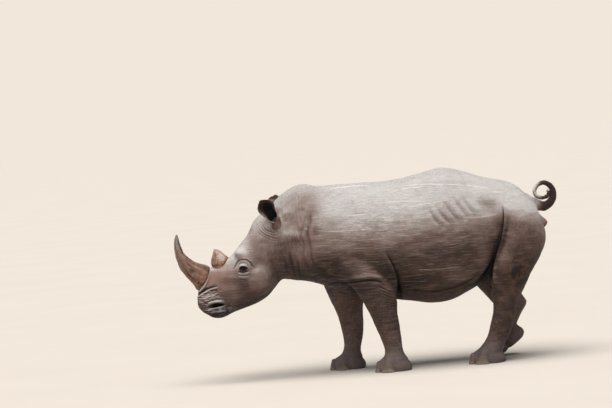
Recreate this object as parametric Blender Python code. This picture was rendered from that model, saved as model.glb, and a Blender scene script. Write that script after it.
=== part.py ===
"""White rhinoceros, a still life-size model in mid stride, in metres.

The animal faces -X, its left side is towards -Y and +Z is up. The origin is on the floor, at the
bottom centre of the whole animal. The flesh is lofted whole, blended, and then parted into its
named regions by thin cuts. Horns, eyes, ears, toenails and the tail are seated in the flesh.
"""

import math
from dataclasses import dataclass

import bmesh
import bpy
import numpy as np

# Driving dimensions, in metres.
BACK_HEIGHT = 1.635        # level stretch of the back, between the nape hump and the croup
NAPE_RISE = 0.030          # the nape hump above the back
CROUP_RISE = 0.068         # the croup above the back
BELLY_HEIGHT = 0.545       # lowest point of the belly
BARREL_HALF_WIDTH = 0.490  # the ribs at their widest
LEG_Y = 0.272              # foot centres from the middle plane
EYE_RADIUS = 0.029
GAP = 0.0003               # clearance that parted and seated pieces keep
CUT_REACH = 0.9            # how far a cutter reaches past the middle plane
FAR = 2.2                  # how far a cutter reaches past the nose

# Fineness of the flesh.
VOXEL = 0.020
BLEND_PASSES = 9
FLESH_TRIANGLES = 2300

SKIN_COLOURS = {
    "skin_head": (0.235, 0.200, 0.172),
    "skin_back": (0.330, 0.300, 0.270),
    "skin_flank": (0.265, 0.230, 0.200),
    "skin_leg": (0.175, 0.155, 0.140),
    "skin_foot": (0.150, 0.132, 0.120),
}


@dataclass(frozen=True)
class Section:
    """One section of a loft, between a fore (or upper) and a rear (or lower) outline point.

    The outline points are (x, z). The section's width is measured across it, along Y. `widest`
    is how far the widest line lies from the rear point, as a share of the section's depth.
    """

    fore: tuple
    rear: tuple
    half_width: float
    y: float = 0.0
    widest: float = 0.5
    power: float = 2.1


# ---------------------------------------------------------------- helpers


def clear_scene():
    for existing in list(bpy.data.objects):
        bpy.data.objects.remove(existing, do_unlink=True)


def make_material(name, colour, roughness, metallic=0.0):
    found = bpy.data.materials.get(name)
    if found:
        return found
    material = bpy.data.materials.new(name)
    material.use_nodes = True
    shader = material.node_tree.nodes["Principled BSDF"]
    shader.inputs["Base Color"].default_value = (*colour, 1.0)
    shader.inputs["Roughness"].default_value = roughness
    shader.inputs["Metallic"].default_value = metallic
    material.diffuse_color = (*colour, 1.0)
    return material


def add_object(name, mesh):
    made = bpy.data.objects.new(name, mesh)
    bpy.context.scene.collection.objects.link(made)
    return made


def mesh_object(name, points, faces):
    mesh = bpy.data.meshes.new(name)
    mesh.from_pydata([tuple(map(float, p)) for p in points], [], [tuple(f) for f in faces])
    mesh.update()
    return add_object(name, mesh)


def hide_cutter(cutter):
    cutter.hide_render = True
    cutter.display_type = "WIRE"
    return cutter


def smooth_curve(keys, samples):
    """Values on a Catmull-Rom curve through the rows of keys, evenly spread over the rows."""
    keys = np.asarray(keys, float)
    padded = np.vstack([2 * keys[0] - keys[1], keys, 2 * keys[-1] - keys[-2]])
    place = np.linspace(0, len(keys) - 1, samples)
    row = np.minimum(place.astype(int), len(keys) - 2)
    t = (place - row)[:, None]
    a, b, c, d = padded[row], padded[row + 1], padded[row + 2], padded[row + 3]
    return 0.5 * (2 * b + (c - a) * t + (2 * a - 5 * b + 4 * c - d) * t**2
                  + (3 * b - a - 3 * c + d) * t**3)


def tube_faces(rings, around):
    """Quads between rings, and a fan to a pole at each end. The poles are the last two points."""
    faces = []
    for ring in range(rings - 1):
        for k in range(around):
            a = ring * around + k
            b = ring * around + (k + 1) % around
            faces.append((a, b, b + around, a + around))
    first, last = rings * around, rings * around + 1
    for k in range(around):
        faces.append((first, (k + 1) % around, k))
        start = (rings - 1) * around
        faces.append((last, start + k, start + (k + 1) % around))
    return faces


def loft(name, sections, per_section=4, around=28):
    """A closed solid through the sections: each ring is a superellipse with its own widest line."""
    keys = [(*s.fore, *s.rear, s.half_width, s.y, s.widest, s.power) for s in sections]
    rings = (len(keys) - 1) * per_section + 1
    rows = smooth_curve(keys, rings)
    fore = np.stack([rows[:, 0], rows[:, 5], rows[:, 1]], axis=1)
    rear = np.stack([rows[:, 2], rows[:, 5], rows[:, 3]], axis=1)
    depth = fore - rear
    length = np.linalg.norm(depth, axis=1)[:, None]
    up = depth / np.maximum(length, 1e-9)
    width = np.maximum(rows[:, 4], 0.001)[:, None]
    centre = rear + rows[:, 6:7] * depth
    angle = np.linspace(0, 2 * math.pi, around, endpoint=False)[None, :]
    power = 2.0 / rows[:, 7:8]
    across = np.sign(np.cos(angle)) * np.abs(np.cos(angle)) ** power * width
    rise = np.sign(np.sin(angle)) * np.abs(np.sin(angle)) ** power
    above = np.linalg.norm(fore - centre, axis=1)[:, None]
    below = np.linalg.norm(rear - centre, axis=1)[:, None]
    rise = rise * np.where(rise > 0, above, below)
    points = centre[:, None, :] + up[:, None, :] * rise[..., None]
    points[..., 1] += across
    poles = np.stack([points[0].mean(axis=0), points[-1].mean(axis=0)])
    made = mesh_object(name, np.vstack([points.reshape(-1, 3), poles]), tube_faces(rings, around))
    face_outwards(made)
    return made


def directions(path):
    """Unit vectors along a path, one at each of its points."""
    along = np.gradient(np.asarray(path, float), axis=0)
    return along / np.linalg.norm(along, axis=1)[:, None]


def tube(name, path, along, radii, around=14):
    """A round tube whose rings stand square to `along` at the path's points."""
    radii = np.asarray(radii, float)[:, None, None]
    side = np.cross(along, (0.0, 1.0, 0.0))
    side /= np.linalg.norm(side, axis=1)[:, None]
    over = np.cross(along, side)
    angle = np.linspace(0, 2 * math.pi, around, endpoint=False)[None, :, None]
    points = path[:, None] + radii * (np.cos(angle) * side[:, None] + np.sin(angle) * over[:, None])
    ends = np.stack([path[0], path[-1]])
    made = mesh_object(name, np.vstack([points.reshape(-1, 3), ends]), tube_faces(len(path), around))
    face_outwards(made)
    return made


def ellipsoid(name, centre, radii, tilt=0.0, turn=0.0, levels=3):
    """An ellipsoid, tilted about Y and then turned about Z, in radians."""
    mesh = bpy.data.meshes.new(name)
    ball = bmesh.new()
    bmesh.ops.create_icosphere(ball, subdivisions=levels, radius=1.0)
    cos_t, sin_t = math.cos(tilt), math.sin(tilt)
    cos_r, sin_r = math.cos(turn), math.sin(turn)
    for vertex in ball.verts:
        x, y, z = (vertex.co[i] * radii[i] for i in range(3))
        x, z = cos_t * x + sin_t * z, cos_t * z - sin_t * x
        x, y = cos_r * x - sin_r * y, sin_r * x + cos_r * y
        vertex.co = (centre[0] + x, centre[1] + y, centre[2] + z)
    ball.to_mesh(mesh)
    ball.free()
    return add_object(name, mesh)


def face_outwards(made):
    """Triangles that all face out, so that a copy of the shape folds along the same edges."""
    shape = bmesh.new()
    shape.from_mesh(made.data)
    bmesh.ops.triangulate(shape, faces=shape.faces)
    bmesh.ops.recalc_face_normals(shape, faces=shape.faces)
    shape.to_mesh(made.data)
    shape.free()


def swollen(source, name, grow=GAP):
    """A copy of a closed solid with every face moved outwards by about grow."""
    mesh = bpy.data.meshes.new(name)
    shape = bmesh.new()
    shape.from_mesh(source.data)
    shape.normal_update()
    moves = [vertex.normal * vertex.calc_shell_factor() * grow for vertex in shape.verts]
    for vertex, move in zip(shape.verts, moves):
        vertex.co += move
    shape.to_mesh(mesh)
    shape.free()
    return hide_cutter(add_object(name, mesh))


def evaluated_copy(source, name):
    graph = bpy.context.evaluated_depsgraph_get()
    mesh = bpy.data.meshes.new_from_object(source.evaluated_get(graph))
    mesh.name = name
    return add_object(name, mesh)


def remove(*unwanted):
    for thing in unwanted:
        bpy.data.objects.remove(thing, do_unlink=True)


def boolean(target, cutter, operation):
    """Apply one exact Boolean to the target's mesh."""
    step = target.modifiers.new(operation.lower(), "BOOLEAN")
    step.operation = operation
    step.solver = "EXACT"
    step.object = cutter
    result = evaluated_copy(target, target.name)
    old = target.data
    target.modifiers.remove(step)
    target.data = result.data
    remove(result)
    bpy.data.meshes.remove(old)


def join_meshes(name, parts):
    """One object that holds the meshes of all the parts, which are removed."""
    whole = bmesh.new()
    for part in parts:
        whole.from_mesh(part.data)
    mesh = bpy.data.meshes.new(name)
    whole.to_mesh(mesh)
    whole.free()
    remove(*parts)
    return add_object(name, mesh)


# ---------------------------------------------------------------- flesh


def trunk_sections():
    """Neck, chest, ribs, loin and rump, from front to rear: the outlines are back and underside."""
    back = BACK_HEIGHT
    half = BARREL_HALF_WIDTH

    def upright(x, top, bottom, half_width, widest=0.47, power=2.15):
        return Section((x, top), (x, bottom), half_width, widest=widest, power=power)

    return [
        upright(-0.90, 1.38, 0.96, 0.13),
        upright(-0.78, 1.53, 0.87, 0.225, 0.44),
        upright(-0.66, back - 0.015, 0.838, 0.268, 0.42),
        upright(-0.53, back + NAPE_RISE, 0.815, 0.305, 0.42),
        upright(-0.38, back + 0.002, 0.755, 0.350, 0.44),
        upright(-0.18, back + 0.001, 0.675, 0.398, 0.46),
        upright(0.08, back - 0.004, 0.620, half - 0.042, 0.47),
        upright(0.33, back + 0.004, 0.570, half - 0.008, 0.48),
        upright(0.52, back + 0.040, BELLY_HEIGHT - 0.006, half, 0.48),
        upright(0.69, back + CROUP_RISE, BELLY_HEIGHT + 0.006, half - 0.004, 0.48),
        upright(0.86, back + 0.030, BELLY_HEIGHT + 0.075, half - 0.025, 0.48),
        upright(1.02, back - 0.038, BELLY_HEIGHT + 0.150, half - 0.055, 0.50),
        upright(1.19, back - 0.078, BELLY_HEIGHT + 0.220, half - 0.100, 0.52),
        upright(1.31, back - 0.125, BELLY_HEIGHT + 0.300, half - 0.160, 0.53),
        upright(1.42, back - 0.230, BELLY_HEIGHT + 0.390, half - 0.260, 0.55),
        upright(1.50, back - 0.330, BELLY_HEIGHT + 0.500, half - 0.370, 0.55),
    ]


def head_sections():
    """Head from the nape to the lips: the outlines are the forehead and the jaw."""
    return [
        Section((-0.62, 1.58), (-0.66, 0.90), 0.200, widest=0.46),
        Section((-0.80, 1.500), (-0.765, 0.850), 0.224, widest=0.42),
        Section((-0.905, 1.440), (-0.835, 0.780), 0.226, widest=0.45),
        Section((-0.975, 1.370), (-0.905, 0.712), 0.214, widest=0.50),
        Section((-1.025, 1.275), (-0.985, 0.672), 0.200, widest=0.54),
        Section((-1.100, 1.192), (-1.060, 0.645), 0.183, widest=0.56),
        Section((-1.185, 1.105), (-1.130, 0.625), 0.162, widest=0.54),
        Section((-1.275, 1.045), (-1.190, 0.606), 0.145, widest=0.50),
        Section((-1.370, 1.015), (-1.235, 0.590), 0.134, widest=0.46),
        Section((-1.450, 0.930), (-1.275, 0.576), 0.132, widest=0.42, power=2.3),
        Section((-1.500, 0.835), (-1.318, 0.562), 0.138, widest=0.44, power=2.6),
        Section((-1.514, 0.745), (-1.360, 0.572), 0.143, widest=0.50, power=2.9),
        Section((-1.512, 0.685), (-1.410, 0.586), 0.134, widest=0.50, power=3.1),
        Section((-1.492, 0.650), (-1.448, 0.606), 0.108, widest=0.50, power=3.0),
    ]


SHOULDER_LEAN = 0.13       # how fast a shoulder nears the middle plane above the elbow
ELBOW_HEIGHT = 0.85

# A column leg's sections, from the top down: height, length fore and aft, half width.
FORELEG = {
    "blade": (1.36, 0.30, 0.085),
    "shoulder": (1.20, 0.44, 0.130),
    "arm": (1.02, 0.46, 0.150),
    "low_arm": (0.86, 0.43, 0.150),
    "elbow": (0.74, 0.37, 0.140),
    "forearm": (0.62, 0.305, 0.128),
    "mid_forearm": (0.50, 0.236, 0.112),
    "knee_top": (0.40, 0.212, 0.102),
    "knee": (0.30, 0.186, 0.093),
    "wrist": (0.20, 0.156, 0.088),
    "fetlock": (0.14, 0.172, 0.100),
    "foot_top": (0.08, 0.262, 0.128),
    "foot_rim": (0.03, 0.306, 0.142),
    "sole": (-0.02, 0.296, 0.136),
}
# Where the middle of each of those sections lies along X, on the trailing left and leading right.
LEFT_FORELEG_X = (-0.27, -0.20, -0.115, -0.045, 0.020, 0.058, 0.086, 0.105, 0.127,
                  0.143, 0.146, 0.142, 0.133, 0.133)
RIGHT_FORELEG_X = (-0.34, -0.30, -0.260, -0.235, -0.222, -0.214, -0.200, -0.189, -0.186,
                   -0.199, -0.216, -0.240, -0.250, -0.250)


def foreleg_sections(side, middles):
    """A column foreleg. Its upper part leans in towards the chest."""
    sections = []
    for (height, length, half_width), x in zip(FORELEG.values(), middles):
        y = side * (LEG_Y - SHOULDER_LEAN * max(0.0, height - ELBOW_HEIGHT))
        sections.append(Section((x - length / 2, height), (x + length / 2, height), half_width, y))
    return sections


def standing_hind_sections():
    """The left hind leg, which carries weight: the outlines are its fore and rear edges."""
    side = -1
    rows = [
        ((1.19, 1.43), (1.37, 1.43), 0.120, 0.200),
        ((1.16, 1.30), (1.465, 1.31), 0.180, 0.220),
        ((1.145, 1.15), (1.520, 1.15), 0.204, 0.240),
        ((1.100, 1.00), (1.527, 1.01), 0.205, 0.250),
        ((1.040, 0.86), (1.460, 0.86), 0.188, 0.258),
        ((1.008, 0.74), (1.378, 0.74), 0.165, 0.262),
        ((1.012, 0.63), (1.318, 0.63), 0.142, 0.266),
        ((1.030, 0.51), (1.243, 0.51), 0.116, LEG_Y),
        ((1.018, 0.41), (1.220, 0.41), 0.106, LEG_Y),
        ((0.986, 0.31), (1.190, 0.31), 0.100, LEG_Y),
        ((0.958, 0.23), (1.154, 0.23), 0.098, LEG_Y),
        ((0.895, 0.145), (1.098, 0.145), 0.104, LEG_Y),
        ((0.825, 0.08), (1.083, 0.08), 0.122, LEG_Y),
        ((0.790, 0.03), (1.100, 0.03), 0.136, LEG_Y),
        ((0.795, -0.02), (1.095, -0.02), 0.130, LEG_Y),
    ]
    return [Section(fore, rear, half, side * y) for fore, rear, half, y in rows]


def pushing_hind_sections():
    """The right hind leg, which pushes off with its heel up and its toes on the floor."""
    rows = [
        ((1.15, 1.43), (1.37, 1.43), 0.120, 0.200),
        ((1.09, 1.30), (1.465, 1.31), 0.182, 0.220),
        ((1.01, 1.13), (1.520, 1.15), 0.205, 0.240),
        ((0.925, 0.95), (1.520, 1.00), 0.203, 0.250),
        ((0.890, 0.79), (1.470, 0.86), 0.186, 0.258),
        ((0.905, 0.68), (1.400, 0.75), 0.162, 0.262),
        ((0.960, 0.60), (1.340, 0.635), 0.138, 0.266),
        ((1.030, 0.51), (1.320, 0.540), 0.118, LEG_Y),
        ((1.095, 0.42), (1.368, 0.455), 0.108, LEG_Y),
        ((1.105, 0.34), (1.308, 0.360), 0.101, LEG_Y),
        ((1.086, 0.26), (1.264, 0.275), 0.098, LEG_Y),
        ((1.055, 0.19), (1.278, 0.240), 0.104, LEG_Y),
        ((1.015, 0.12), (1.312, 0.215), 0.122, LEG_Y),
        ((0.985, 0.045), (1.322, 0.186), 0.134, LEG_Y),
        ((1.020, -0.034), (1.306, 0.146), 0.130, LEG_Y),
    ]
    return [Section(fore, rear, half, y) for fore, rear, half, y in rows]


def muscle_masses():
    """Round masses that the plain lofts lack, on both sides of the middle plane."""
    masses = []
    for side in (-1, 1):
        masses += [
            ellipsoid("brow", (-1.075, side * 0.142, 1.085), (0.085, 0.052, 0.060), 0.6),
            ellipsoid("cheek", (-0.945, side * 0.150, 0.900), (0.115, 0.085, 0.170), 0.35),
            ellipsoid("nostril_wing", (-1.385, side * 0.096, 0.735), (0.085, 0.050, 0.070), 0.3),
            ellipsoid("ear_seat", (-0.795, side * 0.150, 1.295), (0.070, 0.060, 0.075)),
            ellipsoid("hip", (1.00, side * 0.275, 1.36), (0.20, 0.125, 0.150), 0.4),
        ]
    return masses


def make_flesh():
    """The whole animal without horns, ears, eyes and tail, as one blended closed mesh."""
    parts = [
        loft("trunk", trunk_sections(), around=36),
        loft("head", head_sections(), around=32),
        loft("left_fore", foreleg_sections(-1, LEFT_FORELEG_X)),
        loft("right_fore", foreleg_sections(1, RIGHT_FORELEG_X)),
        loft("left_hind", standing_hind_sections()),
        loft("right_hind", pushing_hind_sections()),
    ]
    blend = join_meshes("flesh_lofts", parts + muscle_masses())
    skin = blend.modifiers.new("skin", "REMESH")
    skin.mode = "VOXEL"
    skin.voxel_size = VOXEL
    relax = blend.modifiers.new("relax", "SMOOTH")
    relax.factor = 0.5
    relax.iterations = BLEND_PASSES
    blended = evaluated_copy(blend, "flesh_fine")
    remove(blend)
    thin = blended.modifiers.new("thin", "DECIMATE")
    triangles = sum(len(face.vertices) - 2 for face in blended.data.polygons)
    thin.ratio = FLESH_TRIANGLES / triangles
    flesh = evaluated_copy(blended, "flesh")
    remove(blended)
    return flesh


# ---------------------------------------------------------------- seated pieces


def front_horn_sections():
    """The front horn, from its root in the nose to its tip: outer and inner edges."""
    return [
        Section((-1.470, 0.834), (-1.384, 0.975), 0.090, widest=0.5, power=2.2),
        Section((-1.506, 0.826), (-1.392, 1.018), 0.094, widest=0.5, power=2.2),
        Section((-1.545, 0.886), (-1.452, 1.046), 0.076),
        Section((-1.596, 0.950), (-1.512, 1.073), 0.063),
        Section((-1.640, 1.022), (-1.566, 1.118), 0.053),
        Section((-1.668, 1.108), (-1.603, 1.168), 0.043),
        Section((-1.680, 1.195), (-1.624, 1.232), 0.032),
        Section((-1.671, 1.270), (-1.634, 1.288), 0.019),
        Section((-1.656, 1.316), (-1.641, 1.321), 0.007),
    ]


def rear_horn_sections():
    """The short rear horn, from its root in the brow to its blunt tip."""
    return [
        Section((-1.350, 0.995), (-1.205, 1.010), 0.078),
        Section((-1.362, 1.040), (-1.198, 1.052), 0.078),
        Section((-1.360, 1.088), (-1.222, 1.095), 0.062),
        Section((-1.346, 1.136), (-1.258, 1.136), 0.042),
        Section((-1.328, 1.164), (-1.292, 1.160), 0.018),
    ]


@dataclass(frozen=True)
class Ear:
    """A cupped ear: a rolled sheet, nearly a tube at its root, that opens forwards and outwards."""

    name: str
    side: int
    root: tuple
    lean_back: float     # radians from upright, towards the rump
    lean_out: float      # radians from upright, away from the middle plane
    face: float          # where the opening looks: radians from straight ahead, outwards
    height: float = 0.190
    thickness: float = 0.010
    rows: int = 7
    columns: int = 8

    def frame(self):
        """Unit vectors along the ear, out of its opening and across it."""
        along = np.array([math.tan(self.lean_back), self.side * math.tan(self.lean_out), 1.0])
        along /= np.linalg.norm(along)
        look = np.array([-math.cos(self.face), self.side * math.sin(self.face), 0.0])
        opening = look - along * look.dot(along)
        opening /= np.linalg.norm(opening)
        return along, opening, np.cross(along, opening)

    def radius(self, t):
        """Radius of the rolled sheet: slim at the root, fullest half way, closing to the tip."""
        return 0.038 + 0.040 * np.sin(np.pi * np.clip(t * 0.98, 0, 1)) ** 0.9

    def roll(self, t):
        """Half angle of the rolled sheet: nearly shut at the root, an open cup above."""
        return np.radians(158 - 62 * np.clip(t / 0.55, 0, 1) - 26 * np.clip((t - 0.55) / 0.45, 0, 1))

    def sheet(self, offset):
        """Points of the rolled sheet, moved outwards by offset."""
        along, opening, across = self.frame()
        t = np.linspace(0.0, 1.0, self.rows)[:, None]
        v = np.linspace(-1.0, 1.0, self.columns)[None, :]
        narrowing = np.sqrt(np.clip(1.0 - ((t - 0.5) / 0.505).clip(0, None) ** 2.2, 0.02, 1.0))
        angle = v * self.roll(t) * narrowing
        radius = self.radius(t) + offset
        height = self.height * t * (1.0 - 0.10 * v**2 * t)
        points = np.array(self.root) + height[..., None] * along
        points = points - (radius * np.cos(angle))[..., None] * opening
        return points + (radius * np.sin(angle))[..., None] * across

    def build(self):
        """The cup: an outer and an inner sheet joined along their edges, over a solid root."""
        outer = self.sheet(0.0)
        inner = self.sheet(-self.thickness)
        count = self.rows * self.columns
        faces = []
        for r in range(self.rows - 1):
            for c in range(self.columns - 1):
                a = r * self.columns + c
                b = a + self.columns
                faces.append((a, a + 1, b + 1, b))
                faces.append((count + a, count + b, count + b + 1, count + a + 1))
        border = [r * self.columns for r in range(self.rows)]
        border += [(self.rows - 1) * self.columns + c for c in range(1, self.columns)]
        border += [r * self.columns + self.columns - 1 for r in range(self.rows - 2, -1, -1)]
        border += list(range(self.columns - 2, 0, -1))
        for a, b in zip(border, border[1:] + border[:1]):
            faces.append((a, b, count + b, count + a))
        cup = mesh_object(self.name, np.vstack([outer.reshape(-1, 3), inner.reshape(-1, 3)]), faces)
        face_outwards(cup)
        return cup

    def root_plug(self, name):
        """The fleshy root that carries the cup and sits in the head."""
        along, _, _ = self.frame()
        root = np.array(self.root)
        deep = root - 0.105 * np.array([0.05, self.side * 0.66, 0.75])
        path = smooth_curve([deep, 0.5 * (deep + root) - 0.008 * along, root, root + 0.028 * along], 7)
        radii = smooth_curve([[0.042], [0.044], [0.040], [0.027]], 7)[:, 0]
        return tube(name, path, directions(path), radii, around=10)


EARS = (
    Ear("ear_left", -1, (-0.782, -0.226, 1.380), -0.56, 0.10, 1.20, height=0.228),
    Ear("ear_right", 1, (-0.792, 0.240, 1.392), 0.12, 0.02, 1.30, height=0.210),
)
EYE_CENTRES = {"eye_left": (-1.086, -0.168, 0.990), "eye_right": (-1.086, 0.168, 0.990)}


def tail_path(samples):
    """The tail leaves the rump, swings up and curls forwards in one turn, drifting to the left."""
    keys = [
        (1.390, 0.000, 1.375),
        (1.470, 0.000, 1.322),
        (1.560, 0.000, 1.292),
        (1.628, 0.000, 1.330),
        (1.650, -0.002, 1.400),
        (1.628, -0.008, 1.462),
        (1.574, -0.018, 1.495),
        (1.518, -0.032, 1.480),
        (1.485, -0.046, 1.430),
        (1.500, -0.058, 1.385),
        (1.550, -0.066, 1.366),
        (1.598, -0.070, 1.385),
        (1.610, -0.072, 1.425),
    ]
    return smooth_curve(keys, samples)


TAIL_RADII = (0.052, 0.048, 0.040, 0.034, 0.029, 0.025, 0.021, 0.019, 0.0175, 0.0165, 0.016,
              0.014, 0.009)
TAIL_PIECES = {"tail_root": (0.00, 0.25), "tail_lower": (0.25, 0.50),
               "tail_upper": (0.50, 0.75), "tail_tip": (0.75, 1.00)}
TAIL_SAMPLES = 33


def tail_piece(name, start, end):
    """A length of the tail, shortened by one gap at each end."""
    path = tail_path(TAIL_SAMPLES)
    along = directions(path)
    radii = smooth_curve(np.array(TAIL_RADII)[:, None], TAIL_SAMPLES)[:, 0]
    length = slice(round(start * (TAIL_SAMPLES - 1)), round(end * (TAIL_SAMPLES - 1)) + 1)
    piece, along = path[length].copy(), along[length]
    piece[0] += GAP * along[0]
    piece[-1] -= GAP * along[-1]
    return tube(name, piece, along, radii[length], around=8)


@dataclass(frozen=True)
class Toenail:
    """A broad curved hoof-like nail on the front of a foot."""

    name: str
    foot: tuple          # centre of the sole: x, y, z
    reach: tuple         # half length and half width of the foot at the nails
    turn: float          # radians round from straight ahead, outwards
    span: float          # radians that the nail covers
    height: float
    lift: float = 0.003
    tilt: float = 0.0    # radians that the whole foot is tipped, toes down

    def surface(self, offset, around=5, rows=2):
        """Points on the nail: a patch of an elliptical cone, domed, with a rounded upper edge."""
        u = np.linspace(-1.0, 1.0, around)[None, :]
        v = np.linspace(0.0, 1.0, rows)[:, None]
        angle = self.turn + u * self.span / 2 * (1.0 - 0.22 * v)
        top = self.height * (1.0 - 0.45 * u**2)
        swell = offset * (1.0 - 0.18 * v)
        x = -(self.reach[0] * (1.0 - 0.16 * v) + swell) * np.cos(angle)
        y = (self.reach[1] * (1.0 - 0.13 * v) + swell) * np.sin(angle)
        z = self.lift + v * top
        return np.stack([x, y, z], axis=-1)

    def build(self):
        """The nail as a closed solid, its inner side sunk in the foot."""
        outer = self.surface(0.009)
        inner = self.surface(-0.016)
        rows, around = outer.shape[:2]
        count = rows * around
        faces = []
        for r in range(rows - 1):
            for c in range(around - 1):
                a = r * around + c
                faces.append((a, a + 1, a + around + 1, a + around))
                faces.append((count + a, count + a + around, count + a + around + 1, count + a + 1))
        border = list(range(around)) + [r * around + around - 1 for r in range(1, rows)]
        border += [(rows - 1) * around + c for c in range(around - 2, -1, -1)]
        border += [r * around for r in range(rows - 2, 0, -1)]
        for a, b in zip(border, border[1:] + border[:1]):
            faces.append((a, b, count + b, count + a))
        points = np.vstack([outer.reshape(-1, 3), inner.reshape(-1, 3)])
        cos_t, sin_t = math.cos(self.tilt), math.sin(self.tilt)
        x, z = points[:, 0].copy(), points[:, 2].copy()
        points[:, 0] = self.foot[0] + cos_t * x + sin_t * z
        points[:, 2] = self.foot[2] + cos_t * z - sin_t * x
        points[:, 1] += self.foot[1]
        nail = mesh_object(self.name, points, faces)
        face_outwards(nail)
        return nail


def foot_nails():
    """Three nails on each foot: a broad middle one and a narrower one on each side of it."""
    feet = {
        "forefoot_left": ((LEFT_FORELEG_X[-1], -LEG_Y, 0.0), (0.153, 0.142), 0.0),
        "forefoot_right": ((RIGHT_FORELEG_X[-1], LEG_Y, 0.0), (0.153, 0.142), 0.0),
        "hindfoot_left": ((0.945, -LEG_Y, 0.0), (0.155, 0.136), 0.0),
        "hindfoot_right": ((1.146, LEG_Y, 0.088), (0.154, 0.132), -0.565),
    }
    places = {"inner": (1.02, 0.60, 0.058), "middle": (0.0, 0.80, 0.074), "outer": (-1.02, 0.60, 0.058)}
    nails = {}
    for foot, (centre, reach, tilt) in feet.items():
        side = -1 if foot.endswith("left") else 1
        for place, (turn, span, height) in places.items():
            name = foot.replace("foot", "nail") + "_" + place
            nails.setdefault(foot, []).append(
                Toenail(name, centre, reach, -side * turn, span, height, tilt=tilt))
    return nails


# ---------------------------------------------------------------- parting


LEG_ROOM = 0.03        # room left round a leg's own loft
FOLD_TOP = 1.10        # where the flank fold is sharp from, upwards
LEG_CUT = 0.565        # top of the lower legs
SHANK_CUT = 0.535
FOOT_CUT = 0.172
INNER_WALL = 0.105     # where a shoulder or a thigh ends towards the middle plane


def prism(name, outline, low_y, high_y):
    """A closed slab of the (x, z) outline between two values of y."""
    count = len(outline)
    corners = [(x, low_y, z) for x, z in outline] + [(x, high_y, z) for x, z in outline]
    faces = [tuple(range(count)), tuple(range(2 * count - 1, count - 1, -1))]
    faces += [(k, k + count, (k + 1) % count + count, (k + 1) % count) for k in range(count)]
    made = mesh_object(name, corners, faces)
    face_outwards(made)
    return hide_cutter(made)


def leg_outline(sections, lowest, fold=False):
    """The outline of a leg's loft above a height, with some room round it.

    Where the leg has a fold in front, the room there narrows to nothing towards the top.
    """
    kept = [s for s in sections if s.rear[1] > lowest + 0.02]
    room = [LEG_ROOM * (min(1.0, max(0.0, (FOLD_TOP - s.fore[1]) / 0.5)) if fold else 1.0)
            for s in kept]
    fore = [(s.fore[0] - spare, s.fore[1]) for s, spare in zip(kept, room)]
    rear = [(s.rear[0] + LEG_ROOM, s.rear[1]) for s in kept]
    top = (0.5 * (kept[0].fore[0] + kept[0].rear[0]), kept[0].fore[1] + 0.06)
    foot = [(fore[-1][0], lowest), (rear[-1][0], lowest)]
    return fore + foot + rear[::-1] + [top]


def regions():
    """Each region of the flesh: its outline in (x, z) and its reach along Y, in cutting order."""
    left, right = (-CUT_REACH, 0.0), (0.0, CUT_REACH)
    both = (-CUT_REACH, CUT_REACH)
    left_fore = foreleg_sections(-1, LEFT_FORELEG_X)
    right_fore = foreleg_sections(1, RIGHT_FORELEG_X)
    fore_box = (-0.60, 0.45)
    hind_box = (0.60, 1.48)

    def box(span, low, high):
        return [(span[0], low), (span[1], low), (span[1], high), (span[0], high)]

    tipped = [(0.80, 0.0), (1.48, 0.0), (1.48, 0.283), (0.80, 0.148)]
    return [
        ("forefoot_left", box(fore_box, 0.0, FOOT_CUT), left),
        ("forefoot_right", box(fore_box, 0.0, FOOT_CUT), right),
        ("hindfoot_left", box(hind_box, 0.0, FOOT_CUT), left),
        ("hindfoot_right", tipped, right),
        ("foreleg_lower_left", box(fore_box, FOOT_CUT, LEG_CUT), left),
        ("foreleg_lower_right", box(fore_box, FOOT_CUT, LEG_CUT), right),
        ("shank_left", box((0.90, 1.48), FOOT_CUT, SHANK_CUT), left),
        ("shank_right", [(0.90, 0.168), (1.48, 0.283), (1.48, SHANK_CUT), (0.90, SHANK_CUT)], right),
        ("foreleg_upper_left", leg_outline(left_fore, LEG_CUT), (-CUT_REACH, -INNER_WALL)),
        ("foreleg_upper_right", leg_outline(right_fore, LEG_CUT), (INNER_WALL, CUT_REACH)),
        ("thigh_left", leg_outline(standing_hind_sections(), SHANK_CUT, True),
         (-CUT_REACH, -INNER_WALL)),
        ("thigh_right", leg_outline(pushing_hind_sections(), SHANK_CUT, True),
         (INNER_WALL, CUT_REACH)),
        ("lower_jaw", [(-1.392, 0.40), (-1.392, 0.590), (-1.270, 0.622), (-1.100, 0.700),
                       (-0.920, 0.790), (-0.830, 0.740), (-0.800, 0.40)], both),
        ("muzzle", [(-FAR, 0.30), (-1.115, 0.30), (-1.180, 1.20), (-FAR, 1.20)], both),
        ("head", [(-1.30, 0.30), (-0.765, 0.30), (-0.725, 1.10), (-0.660, 1.80), (-1.30, 1.80)],
         both),
        ("neck", [(-1.00, 0.30), (-0.470, 0.30), (-0.415, 1.15), (-0.375, 1.85), (-1.00, 1.85)],
         both),
        ("trunk_chest", [(-0.80, 0.20), (0.300, 0.20), (0.300, 1.85), (-0.80, 1.85)], both),
        ("trunk_barrel", [(0.10, 0.20), (0.955, 0.20), (1.000, 1.85), (0.10, 1.85)], both),
    ]


REGION_SKIN = {
    "head": "skin_head", "muzzle": "skin_head", "lower_jaw": "skin_head", "neck": "skin_flank",
    "trunk_chest": "skin_flank", "trunk_barrel": "skin_flank", "trunk_rump": "skin_back",
    "foreleg": "skin_leg", "shank": "skin_leg", "thigh": "skin_flank",
    "forefoot": "skin_foot", "hindfoot": "skin_foot", "tail": "skin_leg", "ear": "skin_head",
}


def skin_of(name):
    for start, finish in REGION_SKIN.items():
        if name.startswith(start):
            return finish
    return "skin_flank"


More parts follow.
